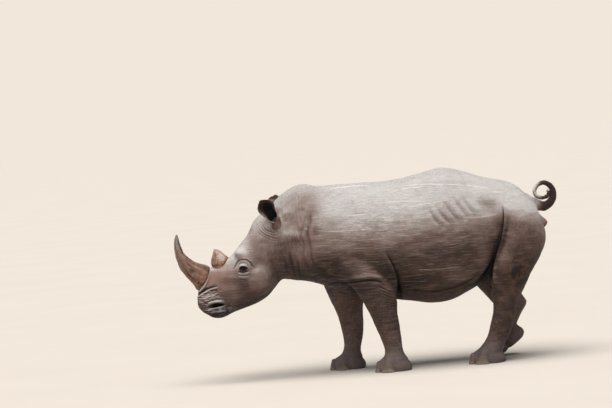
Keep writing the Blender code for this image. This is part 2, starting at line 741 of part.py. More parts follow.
def dress(made, finish, roughness=0.85):
    """One material in the object's only slot, and smooth shading that keeps the cut edges."""
    colours = {**SKIN_COLOURS, "horn": (0.20, 0.13, 0.09), "nail": (0.16, 0.13, 0.11),
               "eye": (0.02, 0.014, 0.01)}
    made.data.materials.clear()
    made.data.materials.append(make_material(finish, colours[finish], roughness))
    made.data.shade_smooth()
    made.data.set_sharp_from_angle(angle=math.radians(50))


def largest_body(made):
    """Drop chips that a cut leaves: keep the connected piece with the most faces."""
    shape = bmesh.new()
    shape.from_mesh(made.data)
    unseen, groups = set(shape.faces), []
    while unseen:
        front = [unseen.pop()]
        group = list(front)
        while front:
            face = front.pop()
            for edge in face.edges:
                for other in edge.link_faces:
                    if other in unseen:
                        unseen.discard(other)
                        front.append(other)
                        group.append(other)
        groups.append(group)
    groups.sort(key=len)
    for group in groups[:-1]:
        bmesh.ops.delete(shape, geom=group, context="FACES")
    shape.to_mesh(made.data)
    shape.free()


def part_flesh(flesh):
    """Cut each region out of the flesh in turn; the rump is what remains."""
    nodes = {}
    for name, outline, (low, high) in regions():
        inside = prism(name + "_cell", outline, low, high)
        outside = swollen(inside, name + "_cutter")
        node = add_object(name, flesh.data.copy())
        boolean(node, inside, "INTERSECT")
        boolean(flesh, outside, "DIFFERENCE")
        largest_body(node)
        remove(inside, outside)
        nodes[name] = node
    below_floor = prism("below_floor", [(-2.0, -0.5), (2.0, -0.5), (2.0, 0.0), (-2.0, 0.0)],
                        -CUT_REACH, CUT_REACH)
    boolean(flesh, below_floor, "DIFFERENCE")
    remove(below_floor)
    largest_body(flesh)
    flesh.name = "trunk_rump"
    nodes["trunk_rump"] = flesh
    for name, node in nodes.items():
        dress(node, skin_of(name))
    return nodes


# ---------------------------------------------------------------- assembly


def seat(node, piece):
    """Hollow the node round a piece that is seated in it, with a clearance."""
    cutter = swollen(piece, piece.name + "_seat")
    boolean(node, cutter, "DIFFERENCE")
    remove(cutter)
    largest_body(node)


def add_horns(nodes):
    for name, sections in (("horn_front", front_horn_sections()), ("horn_rear", rear_horn_sections())):
        horn = loft(name, sections, per_section=2, around=10)
        dress(horn, "horn", 0.6)
        seat(nodes["muzzle"], horn)


def add_eyes(nodes):
    for name, centre in EYE_CENTRES.items():
        eye = ellipsoid(name, centre, (EYE_RADIUS,) * 3, levels=2)
        dress(eye, "eye", 0.15)
        seat(nodes["head"], eye)


def add_ears(nodes):
    for ear in EARS:
        cup = ear.build()
        plug = ear.root_plug(ear.name + "_plug")
        seat(nodes["head"], plug)
        boolean(cup, plug, "UNION")
        remove(plug)
        dress(cup, "skin_head")


def add_nails(nodes):
    for foot, nails in foot_nails().items():
        for design in nails:
            nail = design.build()
            dress(nail, "nail", 0.55)
            seat(nodes[foot], nail)


def add_tail(nodes):
    for name, (start, end) in TAIL_PIECES.items():
        piece = tail_piece(name, start, end)
        dress(piece, "skin_leg")
        if name == "tail_root":
            seat(nodes["trunk_rump"], piece)


def main():
    clear_scene()
    nodes = part_flesh(make_flesh())
    add_horns(nodes)
    add_eyes(nodes)
    add_ears(nodes)
    add_nails(nodes)
    add_tail(nodes)


main()
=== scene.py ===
"""Looks of the white rhinoceros: one skin over the animal, horns, eyes, toenails and bristles.

Lengths are in metres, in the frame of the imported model: the animal faces -X, its left side is
towards -Y and +Z is up. The floor is at height zero.
"""

import bmesh
import bpy
import itertools
import logging
import math
import numpy as np
from collections.abc import Callable
from dataclasses import asdict, dataclass
from enum import Enum
from functools import partial
from mathutils import Matrix, Vector


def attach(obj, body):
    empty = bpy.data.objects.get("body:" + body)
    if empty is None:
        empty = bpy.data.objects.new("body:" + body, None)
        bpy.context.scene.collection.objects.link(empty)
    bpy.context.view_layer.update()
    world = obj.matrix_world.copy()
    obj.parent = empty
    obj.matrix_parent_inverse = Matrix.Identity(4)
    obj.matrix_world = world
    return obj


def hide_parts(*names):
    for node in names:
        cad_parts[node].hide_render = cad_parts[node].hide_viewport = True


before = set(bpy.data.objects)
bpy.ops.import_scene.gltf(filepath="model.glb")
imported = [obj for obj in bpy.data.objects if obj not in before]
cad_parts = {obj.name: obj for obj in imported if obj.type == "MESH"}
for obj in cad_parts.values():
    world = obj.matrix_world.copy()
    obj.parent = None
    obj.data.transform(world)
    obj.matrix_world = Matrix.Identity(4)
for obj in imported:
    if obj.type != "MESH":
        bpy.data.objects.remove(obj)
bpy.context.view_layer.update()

LOG = logging.getLogger("rhinoceros")

Array = np.ndarray
Object, Mesh, Material, Node = (
    bpy.types.Object, bpy.types.Mesh, bpy.types.Material, bpy.types.Node)
Row = tuple[float, ...]


class Side(Enum):
    """A side of the animal, by the sign of its Y."""

    LEFT = -1
    RIGHT = 1

    @property
    def word(self) -> str:
        """The side's name as pieces carry it."""
        return self.name.lower()

    def place(self, point: Row) -> Array:
        """A point given for the right side, carried to this side."""
        return np.array(point) * (1, self.value, 1)


# ---- curves and noise


def smooth_curve(keys: Array, samples: int) -> Array:
    """Values on a Catmull-Rom curve through rows of keys, evenly spread over the rows.

    Each stretch is the cubic through its two keys whose slopes are half the step between their
    neighbours.

    Args:
        keys: One row for each key.
        samples: How many rows to return.

    Returns:
        The rows on the curve.
    """
    keys = np.asarray(keys, float)
    padded = np.vstack([2 * keys[0] - keys[1], keys, 2 * keys[-1] - keys[-2]])
    place = np.linspace(0, len(keys) - 1, samples)
    row = np.minimum(place.astype(int), len(keys) - 2)
    t = (place - row)[:, None]
    a, b, c, d = (padded[row + k] for k in range(4))
    return 0.5 * (2 * b + (c - a) * t + (2 * a - 5 * b + 4 * c - d) * t**2
                  + (3 * b - a - 3 * c + d) * t**3)


def smooth_values(keys: Row, samples: int) -> Array:
    """Single numbers on a smooth curve through keys."""
    return smooth_curve([(key,) for key in keys], samples)[:, 0]


def ease(value: Array, low: float, high: float) -> Array:
    """Zero at low and one at high, by the cubic 3t2 - 2t3. It turns round if high is below low."""
    t = np.clip((value - low) / (high - low), 0.0, 1.0)
    return t * t * (3.0 - 2.0 * t)


def hill(value: Array, centre: float, width: float) -> Array:
    """A bell curve: one at the centre and 1/e at one width from it."""
    return np.exp(-(((value - centre) / width) ** 2))


def mound(x: Array, z: Array, centre: Row, radii: Row) -> Array:
    """A bell curve round a place in the side view: exp(-(x / rx)2 - (z / rz)2) from its centre."""
    return np.exp(-(((x - centre[0]) / radii[0]) ** 2) - ((z - centre[1]) / radii[1]) ** 2)


def tipped(x: Array, z: Array, angle: float) -> tuple[Array, Array]:
    """Places turned in the side view: x cos + z sin, and z cos - x sin."""
    cos, sin = math.cos(angle), math.sin(angle)
    return cos * x + sin * z, cos * z - sin * x


def circle(count: int) -> Array:
    """Angles evenly spread round a circle."""
    return np.linspace(0, 2 * math.pi, count, endpoint=False)


def unit(vectors: Array) -> Array:
    """The vectors at length one."""
    vectors = np.asarray(vectors, float)
    return vectors / np.maximum(np.linalg.norm(vectors, axis=-1, keepdims=True), 1e-12)


def lattice(cells: Array, seed: int) -> Array:
    """Repeatable values in -1..1 for whole-numbered cells, by hashing their three numbers.

    Args:
        cells: Whole numbers, three for each cell.
        seed: Which noise of the family.

    Returns:
        One value for each cell.
    """
    x, y, z = (cells[..., i].astype(np.int64) for i in range(3))
    mixed = (x * 374761393 + y * 668265263 + z * 1440662683 + seed * 1274126177) & 0xFFFFFFFF
    mixed = ((mixed ^ (mixed >> 13)) * 1274126177) & 0xFFFFFFFF
    return ((mixed ^ (mixed >> 16)) & 0xFFFF) / 32767.5 - 1.0


def value_noise(points: Array, size: float | Row, seed: int) -> Array:
    """Smooth noise in -1..1: random values on a lattice, eased between the corners of each cell.

    Args:
        points: Places, three numbers each.
        size: The cell's size, one number or one for each axis.
        seed: Which noise of the family.

    Returns:
        One value for each place.
    """
    scaled = points / np.asarray(size, float)
    base = np.floor(scaled).astype(np.int64)
    share = scaled - base
    share = share * share * (3.0 - 2.0 * share)
    total = np.zeros(points.shape[:-1])
    for corner in itertools.product((0, 1), repeat=3):
        weight = np.prod(np.where(np.array(corner), share, 1.0 - share), axis=-1)
        total += weight * lattice(base + np.array(corner), seed)
    return total


# ---- meshes


def grid_quads(rows: int, columns: int, closed: bool) -> Array:
    """Quads between the points of a grid, numbered row by row.

    Args:
        rows: Points up the grid.
        columns: Points across it.
        closed: Whether each row runs round to its start.

    Returns:
        The point numbers of each quad.
    """
    row, column = np.meshgrid(np.arange(rows - 1), np.arange(columns - 1 + closed), indexing="ij")
    a = (row * columns + column).ravel()
    b = (row * columns + (column + 1) % columns).ravel()
    return np.stack([a, b, b + columns, a + columns], axis=1)


def closed_strip_faces(rings: int, around: int) -> list:
    """Faces of a tube of rings: quads between them and a fan to a pole at each end.

    Args:
        rings: How many rings. Their points come first, ring by ring, and then the two poles.
        around: Points in each ring.

    Returns:
        The point numbers of each face.
    """
    quads = grid_quads(rings, around, True).tolist()
    turn = np.arange(around)
    after = (turn + 1) % around
    start = (rings - 1) * around
    first = np.stack([np.full(around, rings * around), after, turn], axis=1)
    last = np.stack([np.full(around, rings * around + 1), start + turn, start + after], axis=1)
    return quads + first.tolist() + last.tolist()


def double_sheet_faces(rows: int, columns: int) -> list:
    """Faces of a closed slab: an outer grid, then an inner grid, joined round their borders.

    Args:
        rows: Points up each grid.
        columns: Points across each grid.

    Returns:
        The point numbers of each face.
    """
    outer = grid_quads(rows, columns, False)
    count = rows * columns
    top = np.arange(columns)
    right = np.arange(1, rows) * columns + columns - 1
    bottom = (rows - 1) * columns + np.arange(columns - 2, -1, -1)
    left = np.arange(rows - 2, 0, -1) * columns
    border = np.concatenate([top, right, bottom, left])
    after = np.roll(border, -1)
    rim = np.stack([border, count + border, count + after, after], axis=1)
    return np.vstack([outer, count + outer[:, ::-1], rim]).tolist()


def placed(name: str, data: bpy.types.ID) -> Object:
    """A new object at the origin.

    Args:
        name: Its name.
        data: Its mesh, light or camera.

    Returns:
        The object, linked to the scene.
    """
    made = bpy.data.objects.new(name, data)
    bpy.context.scene.collection.objects.link(made)
    return made


def add_mesh(name: str, points: Array, faces: list) -> Object:
    """A smooth-shaded mesh object at the origin, its faces turned to point outwards.

    Args:
        name: The object's name.
        points: Vertices, three numbers each.
        faces: Vertex numbers of each face.

    Returns:
        The object.
    """
    mesh = bpy.data.meshes.new(name)
    mesh.from_pydata(np.asarray(points, float).reshape(-1, 3).tolist(), [], faces)
    shape = bmesh.new()
    shape.from_mesh(mesh)
    bmesh.ops.recalc_face_normals(shape, faces=shape.faces)
    shape.to_mesh(mesh)
    shape.free()
    mesh.shade_smooth()
    return placed(name, mesh)


def closed_rings(name: str, rings: Array, poles: Array | None = None) -> Object:
    """A closed mesh through rings, with a pole at each end.

    Args:
        name: The object's name.
        rings: Points shaped (rings, around, 3).
        poles: The two poles, or the middles of the end rings if they aren't given.

    Returns:
        The object.
    """
    if poles is None:
        poles = [rings[0].mean(axis=0), rings[-1].mean(axis=0)]
    faces = closed_strip_faces(*rings.shape[:2])
    return add_mesh(name, np.vstack([rings.reshape(-1, 3), poles]), faces)


def slab(name: str, outer: Array, inner: Array) -> Object:
    """A closed slab between an outer and an inner grid of points shaped (rows, columns, 3)."""
    points = np.vstack([outer.reshape(-1, 3), inner.reshape(-1, 3)])
    return add_mesh(name, points, double_sheet_faces(*outer.shape[:2]))


def tube(name: str, path: Array, radii: Array, around: int = 32) -> Object:
    """A closed round tube whose rings stand square to its path.

    A ring's point is the path's point plus the radius times the cosine of an angle along one
    direction across the path and times its sine along the other.

    Args:
        name: The object's name.
        path: Points along the middle.
        radii: Radius at each point.
        around: Points in a ring.

    Returns:
        The tube.
    """
    along = unit(np.gradient(path, axis=0))
    side = unit(np.cross(along, (0.0, 1.0, 0.0)))
    over = np.cross(along, side)
    angle = circle(around)[None, :, None]
    ring = np.cos(angle) * side[:, None] + np.sin(angle) * over[:, None]
    return closed_rings(name, path[:, None] + radii[:, None, None] * ring, path[[0, -1]])


def evaluated(source: Object, name: str) -> Object:
    """A new object with another's modifiers applied.

    Args:
        source: The other object, which is removed.
        name: The new object's name.

    Returns:
        The new object.
    """
    graph = bpy.context.evaluated_depsgraph_get()
    mesh = bpy.data.meshes.new_from_object(source.evaluated_get(graph))
    bpy.data.objects.remove(source, do_unlink=True)
    return placed(name, mesh)


def joined(name: str, parts: list) -> Object:
    """One object that holds several meshes.

    Args:
        name: Its name.
        parts: The objects whose meshes it takes over. They are removed.

    Returns:
        The object.
    """
    whole = bmesh.new()
    for part in parts:
        whole.from_mesh(part.data)
        bpy.data.objects.remove(part, do_unlink=True)
    mesh = bpy.data.meshes.new(name)
    whole.to_mesh(mesh)
    whole.free()
    return placed(name, mesh)


def remeshed(source: Object, voxel: float, passes: int, name: str) -> Object:
    """The source as one closed even mesh, relaxed a number of times.

    Args:
        source: Closed meshes that may overlap. It is removed.
        voxel: Side of the new mesh's squares.
        passes: How often each point moves half way to the mean of its neighbours.
        name: The new object's name.

    Returns:
        The new object.
    """
    even = source.modifiers.new("even", "REMESH")
    even.mode, even.voxel_size, even.use_smooth_shade = "VOXEL", voxel, True
    relax = source.modifiers.new("relax", "SMOOTH")
    relax.factor, relax.iterations = 0.5, passes
    return evaluated(source, name)


def refine(made: Object, centre: Row, reach: float) -> None:
    """Halves the mesh's squares within a distance of a place.

    Args:
        made: The mesh's object.
        centre: The place.
        reach: The distance.
    """
    shape = bmesh.new()
    shape.from_mesh(made.data)
    middle = Vector(centre)
    edges = [edge for edge in shape.edges
             if all((v.co - middle).length_squared < reach**2 for v in edge.verts)]
    bmesh.ops.subdivide_edges(shape, edges=edges, cuts=1, use_grid_fill=True, smooth=0.0)
    shape.to_mesh(made.data)
    shape.free()


def read_points(mesh: Mesh, field: str = "co") -> Array:
    """Reads the vertices of a mesh.

    Args:
        mesh: The mesh.
        field: "co" for their places or "normal" for their normals.

    Returns:
        Rows of three numbers.
    """
    flat = np.empty(len(mesh.vertices) * 3, np.float32)
    mesh.vertices.foreach_get(field, flat)
    return flat.reshape(-1, 3).astype(float)


def write_mask(mesh: Mesh, name: str, values: Array) -> None:
    """Keeps one number for each vertex as a named attribute."""
    found = mesh.attributes.new(name, "FLOAT", "POINT")
    found.data.foreach_set("value", np.asarray(values, np.float32))


def corner_owners(mesh: Mesh) -> Array:
    """Which vertex every face corner is at.

    Args:
        mesh: The mesh.

    Returns:
        The vertex numbers, corner by corner.
    """
    corners = np.empty(len(mesh.loops), np.int32)
    mesh.loops.foreach_get("vertex_index", corners)
    return corners


def write_map(mesh: Mesh, name: str, places: Array) -> None:
    """Keeps a flat place for every face corner as a UV map."""
    chart = mesh.uv_layers.new(name=name)
    chart.data.foreach_set("uv", places.astype(np.float32).ravel())


# ---- shader helpers


class Signal:
    """A value in a node tree. Arithmetic with it adds the nodes that work it out."""

    def __init__(self, graph: "Graph", socket: bpy.types.NodeSocket) -> None:
        """Keeps the socket that carries the value, and its graph."""
        self.graph, self.socket = graph, socket

    def __add__(self, other: object) -> "Signal":
        """The sum."""
        return self.graph.math("ADD", self, other)

    def __sub__(self, other: object) -> "Signal":
        """This value less another."""
        return self.graph.math("SUBTRACT", self, other)

    def __rsub__(self, other: float) -> "Signal":
        """A number less this value."""
        return self.graph.math("SUBTRACT", other, self)

    def __mul__(self, other: object) -> "Signal":
        """The product."""
        return self.graph.math("MULTIPLY", self, other)

    def __truediv__(self, other: object) -> "Signal":
        """This value over another."""
        return self.graph.math("DIVIDE", self, other)

    def __abs__(self) -> "Signal":
        """The distance from zero."""
        return self.graph.math("ABSOLUTE", self)


class Graph:
    """A node tree with short calls that add a node and join its sockets."""

    def __init__(self, tree: bpy.types.NodeTree) -> None:
        """Wraps a node tree."""
        self.tree = tree

    def fill(self, node: Node, inputs: dict) -> None:
        """Joins signals to a node's inputs, or sets the inputs' own values.

        Args:
            node: The node.
            inputs: Signal or value for each input, by name or number.
        """
        for name, value in inputs.items():
            if isinstance(value, Signal):
                self.tree.links.new(value.socket, node.inputs[name])
            else:
                node.inputs[name].default_value = value

    def node(self, kind: str, inputs: dict, **settings: object) -> Node:
        """A new node.

        Args:
            kind: Blender's name for the node.
            inputs: Signal or value for each input, by name or number.
            **settings: The node's own settings.

        Returns:
            The node.
        """
        made = self.tree.nodes.new(kind)
        for name, value in settings.items():
            setattr(made, name, value)
        self.fill(made, inputs)
        return made

    def signal(self, kind: str, inputs: dict, output: int | str = 0, **settings: object) -> Signal:
        """One output of a new node, whose inputs and settings are as in node()."""
        return Signal(self, self.node(kind, inputs, **settings).outputs[output])

    def math(self, operation: str, a: object, b: object = 0.0) -> Signal:
        """One arithmetic step on two values."""
        return self.signal("ShaderNodeMath", {0: a, 1: b}, operation=operation)

    def vector(self, operation: str, a: object, b: object = (0.0, 0.0, 0.0),
               output: str = "Vector") -> Signal:
        """One step on two vectors."""
        return self.signal("ShaderNodeVectorMath", {0: a, 1: b}, output, operation=operation)

    def parts(self, vector: Signal) -> dict[str, Signal]:
        """The three parts of a vector, by name."""
        made = self.node("ShaderNodeSeparateXYZ", {0: vector})
        return {name: Signal(self, made.outputs[name]) for name in "XYZ"}

    def blend(self, share: object, a: object, b: object) -> Signal:
        """Value a turned into value b by a share."""
        return self.signal("ShaderNodeMix", {0: share, 2: a, 3: b}, data_type="FLOAT")

    def mix(self, share: object, a: object, b: object) -> Signal:
        """Colour a turned into colour b by a share."""
        return self.signal("ShaderNodeMix", {0: share, 6: a, 7: b}, 2, data_type="RGBA")

    def coats(self, base: object, *coats: tuple) -> Signal:
        """A colour under coats.

        Args:
            base: The colour below.
            *coats: Share and colour of each coat, in order.

        Returns:
            The colour that shows.
        """
        for share, colour in coats:
            base = self.mix(share, base, colour)
        return base

    def span(self, value: object, low: object, high: object, to_low: float = 0.0,
             to_high: float = 1.0) -> Signal:
        """Value carried smoothly from one span to another, and held beyond it.

        Args:
            value: What is carried.
            low: Where the first span starts.
            high: Where it ends.
            to_low: Where the other span starts.
            to_high: Where it ends.

        Returns:
            The carried value.
        """
        return self.signal("ShaderNodeMapRange",
                           {0: value, 1: low, 2: high, 3: to_low, 4: to_high},
                           interpolation_type="SMOOTHSTEP")

    def noise(self, vector: Signal, scale: float, detail: float, roughness: float = 0.5,
              bend: object = 0.0) -> Signal:
        """Cloudy values about one half.

        Args:
            vector: Places.
            scale: Clouds to a metre.
            detail: How many finer sizes are added.
            roughness: Share of each finer size.
            bend: How far the clouds are twisted.

        Returns:
            The values.
        """
        return self.signal("ShaderNodeTexNoise",
                           {"Vector": vector, "Scale": scale, "Detail": detail,
                            "Roughness": roughness, "Distortion": bend})

    def ramp(self, value: Signal, stops: tuple) -> Signal:
        """A colour read off a row of (place, colour) stops.

        Args:
            value: What is looked up.
            stops: The stops, from the lowest place up.

        Returns:
            The colour.
        """
        made = self.node("ShaderNodeValToRGB", {"Fac": value})
        row = made.color_ramp.elements
        for index, (place, colour) in enumerate(stops):
            stop = row[index] if index < 2 else row.new(place)
            stop.position, stop.color = place, colour
        return Signal(self, made.outputs["Color"])

    def curve(self, share: Signal, keys: Array) -> Signal:
        """A value read off a smooth curve.

        Args:
            share: What is looked up.
            keys: Rows of (share, value) from zero to one; the first and last are its ends.

        Returns:
            The value.
        """
        made = self.node("ShaderNodeFloatCurve", {"Value": share})
        row = made.mapping.curves[0].points
        row[0].location, row[-1].location = keys[0], keys[-1]
        for key in keys[1:-1]:
            row.new(*key)
        made.mapping.update()
        return Signal(self, made.outputs[0])

    def mask(self, name: str) -> Signal:
        """A mask that the mesh carries."""
        return self.signal("ShaderNodeAttribute", {}, "Fac", attribute_name=name)


@dataclass(frozen=True)
class Effect:
    """A shader node group that materials share.

    `work` turns the inputs into the outputs, and `inputs` holds each input's first value.
    """

    name: str
    work: Callable[[Graph, dict], dict]
    inputs: dict
    outputs: tuple[str, ...]

    def tree(self) -> bpy.types.NodeTree:
        """The group's own tree, built on first use.

        Returns:
            The tree.
        """
        found = bpy.data.node_groups.get(self.name)
        if found:
            return found
        tree = bpy.data.node_groups.new(self.name, "ShaderNodeTree")
        for name, value in self.inputs.items():
            kind = "NodeSocketVector" if isinstance(value, tuple) else "NodeSocketFloat"
            socket = tree.interface.new_socket(name, in_out="INPUT", socket_type=kind)
            socket.default_value = value
        for name in self.outputs:
            tree.interface.new_socket(name, in_out="OUTPUT", socket_type="NodeSocketFloat")
        graph = Graph(tree)
        start, end = graph.node("NodeGroupInput", {}), graph.node("NodeGroupOutput", {})
        given = {name: Signal(graph, start.outputs[name]) for name in self.inputs}
        graph.fill(end, self.work(graph, given))
        return tree

    def on(self, graph: Graph, **inputs: object) -> dict[str, Signal]:
        """The group placed in a material.

        Args:
            graph: The material's graph.
            **inputs: Signal or value for some of the group's inputs.

        Returns:
            The group's outputs, by name.
        """
        made = graph.node("ShaderNodeGroup", {}, node_tree=self.tree())
        graph.fill(made, inputs)
        return {name: Signal(graph, made.outputs[name]) for name in self.outputs}


ORIGIN = (0.0, 0.0, 0.0)


def cracked(graph: Graph, given: dict) -> dict:
    """Cracked plates: height is one on a plate and zero in the cracks between them.

    The height is the distance to the nearest edge of a cell pattern, whose places are bent by
    noise and flattened along X so that the plates lie lengthwise.

    Args:
        graph: The group's graph.
        given: Its inputs.

    Returns:
        Its outputs.
    """
    bent = graph.signal("ShaderNodeTexNoise",
                        {"Vector": given["vector"], "Scale": 14.0, "Detail": 2.0}, "Color")
    moved = graph.vector("MULTIPLY", bent, (0.05, 0.05, 0.05))
    flat = graph.vector("MULTIPLY", graph.vector("ADD", given["vector"], moved), (0.62, 1.0, 1.0))
    edge = graph.signal("ShaderNodeTexVoronoi", {"Vector": flat, "Scale": given["scale"]},
                        "Distance", feature="DISTANCE_TO_EDGE")
    return {"height": graph.span(edge, 0.0, given["gap"])}


def wrinkled(graph: Graph, given: dict) -> dict:
    """Fine wrinkles on stretched places. Height is zero in a thin groove and one beside it.

    A groove runs wherever the noise crosses its middle value: the height is the distance from
    that value, steepened and held at one. Cloud is the noise itself.

    Args:
        graph: The group's graph.
        given: Its inputs.

    Returns:
        Its outputs.
    """
    place = graph.vector("MULTIPLY", given["vector"], given["stretch"])
    cloud = graph.noise(place, 1.0, 3.0, 0.55, given["bend"])
    return {"height": graph.span(abs(cloud - 0.5), 0.0, 0.055), "cloud": cloud}


def soiled(graph: Graph, given: dict) -> dict:
    """Soil and dust: patches of cloudy noise, thicker near the floor. Mask is one where it lies.

    Args:
        graph: The group's graph.
        given: Its inputs.

    Returns:
        Its outputs.
    """
    height = graph.parts(given["vector"])["Z"]
    low = graph.signal("ShaderNodeMapRange", {0: height, 1: given["reach"], 2: 0.0})
    patches = graph.noise(given["vector"], given["scale"], 6.0, 0.62)
    return {"mask": graph.span(patches + low * 0.22, 0.5, 0.74)}


def fibrous(graph: Graph, given: dict) -> dict:
    """Lengthwise fibres, for horn and hoof: noise that is fine across and long along them.

    The vector is (around, along, 0). Height is the fibres' relief and Mask picks out dark ones.

    Args:
        graph: The group's graph.
        given: Its inputs.

    Returns:
        Its outputs.
    """
    factors = graph.signal("ShaderNodeCombineXYZ", {0: given["across"], 1: given["along"], 2: 1.0})
    place = graph.vector("MULTIPLY", given["vector"], factors)
    fine = graph.noise(place, 1.0, 5.0, 0.6, 0.3)
    broad = graph.noise(graph.vector("MULTIPLY", place, (0.28, 0.7, 1.0)), 1.0, 3.0, 0.5, 0.5)
    return {"height": fine + broad, "mask": graph.span(broad, 0.42, 0.66)}


def scraped(graph: Graph, given: dict) -> dict:
    """A thin pale scrape along a shallow arc. Mask is one on the scrape.

    Seen from the side the arc's height is a level, plus a slope times the distance from its
    middle, plus a bow times that distance squared. It fades out at half its length.

    Args:
        graph: The group's graph.
        given: Its inputs.

    Returns:
        Its outputs.
    """
    part = graph.parts(given["vector"])
    far = part["X"] - given["middle"]
    arc = given["level"] + far * given["slope"] + far * far * given["bow"]
    jitter = (graph.noise(given["vector"], 9.0, 3.0) - 0.5) * 0.008
    line = 1.0 - abs(part["Z"] + jitter - arc) / given["width"]
    inside = 1.0 - abs(far) / given["half"]
    shown = graph.signal("ShaderNodeClamp", {0: line}) * graph.span(inside, 0.0, 0.3)
    return {"mask": shown * graph.span(graph.noise(given["vector"], 30.0, 2.0), 0.3, 0.5)}


CRACKS = Effect("cracked_plates", cracked, {"vector": ORIGIN, "scale": 60.0, "gap": 0.12},
                ("height",))
WRINKLES = Effect("fine_wrinkles", wrinkled,
                  {"vector": ORIGIN, "stretch": (5.0, 5.0, 60.0), "bend": 0.6},
                  ("height", "cloud"))
SOIL = Effect("soiled", soiled, {"vector": ORIGIN, "scale": 6.0, "reach": 0.5}, ("mask",))
FIBRES = Effect("fibres", fibrous, {"vector": ORIGIN, "across": 60.0, "along": 2.5},
                ("height", "mask"))
SCRAPE = Effect("scrape", scraped,
                {"vector": ORIGIN, "middle": 0.0, "level": 1.0, "slope": 0.0, "bow": 0.0,
                 "half": 0.3, "width": 0.004}, ("mask",))


def new_material(name: str) -> tuple[Material, Graph, Node, Signal]:
    """An empty material.

    Args:
        name: The material's name.

    Returns:
        Itself, its graph, its Principled shader and its Object coordinates.
    """
    material = bpy.data.materials.new(name)
    material.use_nodes = True
    graph = Graph(material.node_tree)
    place = graph.signal("ShaderNodeTexCoord", {}, "Object")
    return material, graph, material.node_tree.nodes["Principled BSDF"], place


def relief(graph: Graph, shader: Node, *layers: tuple) -> None:
    """Chains Bump nodes into the shader's normal.

    Args:
        graph: The material's graph.
        shader: Its Principled shader.
        *layers: Height, depth in metres and strength of each layer, coarse to fine.
    """
    normal = {}
    for height, depth, strength in layers:
        inputs = {"Height": height, "Distance": depth, "Strength": strength, **normal}
        normal = {"Normal": graph.signal("ShaderNodeBump", inputs, "Normal")}
    graph.fill(shader, normal)


# ---- finishes


@dataclass(frozen=True)
class Scrape:
    """A thin pale line that a thorn left on the flanks, as the scrape group's inputs."""

    middle: float
    level: float
    slope: float
    bow: float
    half: float
    width: float = 0.0055


SCRAPES = tuple(Scrape(*row) for row in (
    (0.711, 1.563, -0.115, -0.2, 0.4), (0.549, 1.418, 0.09, -0.07, 0.2),
    (0.962, 1.265, 0.003, 0.3, 0.17, 0.0035), (0.579, 0.852, -0.024, 0.15, 0.21),
    (-0.171, 1.244, -0.021, 0.07, 0.21), (-0.098, 1.369, 0.005, 0.1, 0.11),
    (0.28, 1.455, -0.024, -0.27, 0.27, 0.0035), (0.419, 1.557, 0.036, -0.03, 0.15),
    (-0.117, 1.612, -0.003, -0.3, 0.2), (0.005, 0.962, -0.111, 0.06, 0.09, 0.0035),
    (0.435, 0.856, -0.064, 0.03, 0.07, 0.0035),
))


@dataclass(frozen=True)
class Gap:
    """Painted shadow: a black gap or line where one part of the hide hangs over another, in the
    side view.

    Each row of `edges` is a place along the gap and the places of its two edges there. The places
    along it are heights and the edges' are lengths along the body, or the reverse if `level`.
    """

    edges: tuple[Row, ...]
    side: Side
    level: bool = False
    strength: float = 1.0
    soft: float = 0.004
    fade: float = 0.03

    def drawn(self, graph: Graph, part: dict) -> Signal:
        """The gap's mask of painted shadow: the strength between the two edges, read off curves,
        and zero outside.

        Args:
            graph: The hide's graph.
            part: The three Object coordinates, by name.

        Returns:
            The mask.
        """
        rows = np.array(sorted(self.edges))
        along, over = (part["X"], part["Z"]) if self.level else (part["Z"], part["X"])
        low, high = rows[0, 0], rows[-1, 0]
        least, most = rows[:, 1:].min(), rows[:, 1:].max()
        spread = (rows[:, 0] - low) / (high - low)
        edges = (rows[:, 1:] - least) / (most - least)
        share, place = (along - low) / (high - low), (over - least) / (most - least)
        first, last = (graph.curve(share, np.stack([spread, edge], axis=1)) for edge in edges.T)
        soft = self.soft / (most - least)
        inside = graph.span(place - first, -soft, soft) * graph.span(last - place, -soft, soft)
        ends = (graph.span(along, low, low + self.fade)
                * graph.span(along, high, high - 2.0 * self.fade))
        near = graph.span(part["Y"] * float(self.side.value), 0.05, 0.09)
        return inside * (ends * near) * self.strength


GAP_SHADOWS = (
    # In front of the thighs.
    Gap(((1.33, 1.172, 1.178), (1.2, 1.161, 1.171), (1.064, 1.124, 1.139),
         (0.968, 1.083, 1.104), (0.89, 1.042, 1.076), (0.829, 1.002, 1.056),
         (0.762, 0.952, 1.043), (0.7, 0.9, 1.034), (0.6, 0.86, 1.02),
         (0.54, 0.85, 1.005)), Side.LEFT, fade=0.02),
    Gap(((1.33, 1.112, 1.116), (1.173, 1.049, 1.056), (1.022, 0.968, 0.978),
         (0.906, 0.914, 0.93), (0.829, 0.88, 0.912), (0.762, 0.83, 0.904),
         (0.7, 0.8, 0.912), (0.6, 0.77, 0.935)), Side.RIGHT, fade=0.02),
    # Behind the forelegs.
    Gap(((1.0, 0.156, 0.16), (0.933, 0.183, 0.19), (0.854, 0.209, 0.219),
         (0.776, 0.223, 0.236), (0.714, 0.223, 0.25), (0.637, 0.215, 0.258),
         (0.57, 0.205, 0.262)), Side.LEFT),
    Gap(((0.98, 0.03, 0.035), (0.9, 0.013, 0.022), (0.801, -0.022, -0.01),
         (0.714, -0.04, -0.014), (0.637, -0.052, -0.01), (0.57, -0.062, -0.008)), Side.RIGHT),
    # Under the roll of the shoulder, and along the belly.
    Gap(((-0.402, 0.766, 0.774), (-0.313, 0.789, 0.799), (-0.228, 0.786, 0.797),
         (-0.099, 0.792, 0.803), (-0.012, 0.795, 0.806), (0.047, 0.786, 0.794),
         (0.108, 0.756, 0.76)), Side.LEFT, level=True, strength=0.8),
    Gap(((0.3, 0.687, 0.691), (0.42, 0.664, 0.67), (0.56, 0.65, 0.658),
         (0.7, 0.667, 0.675), (0.84, 0.718, 0.724), (0.95, 0.788, 0.792)), Side.LEFT,
        level=True, strength=0.6),
)


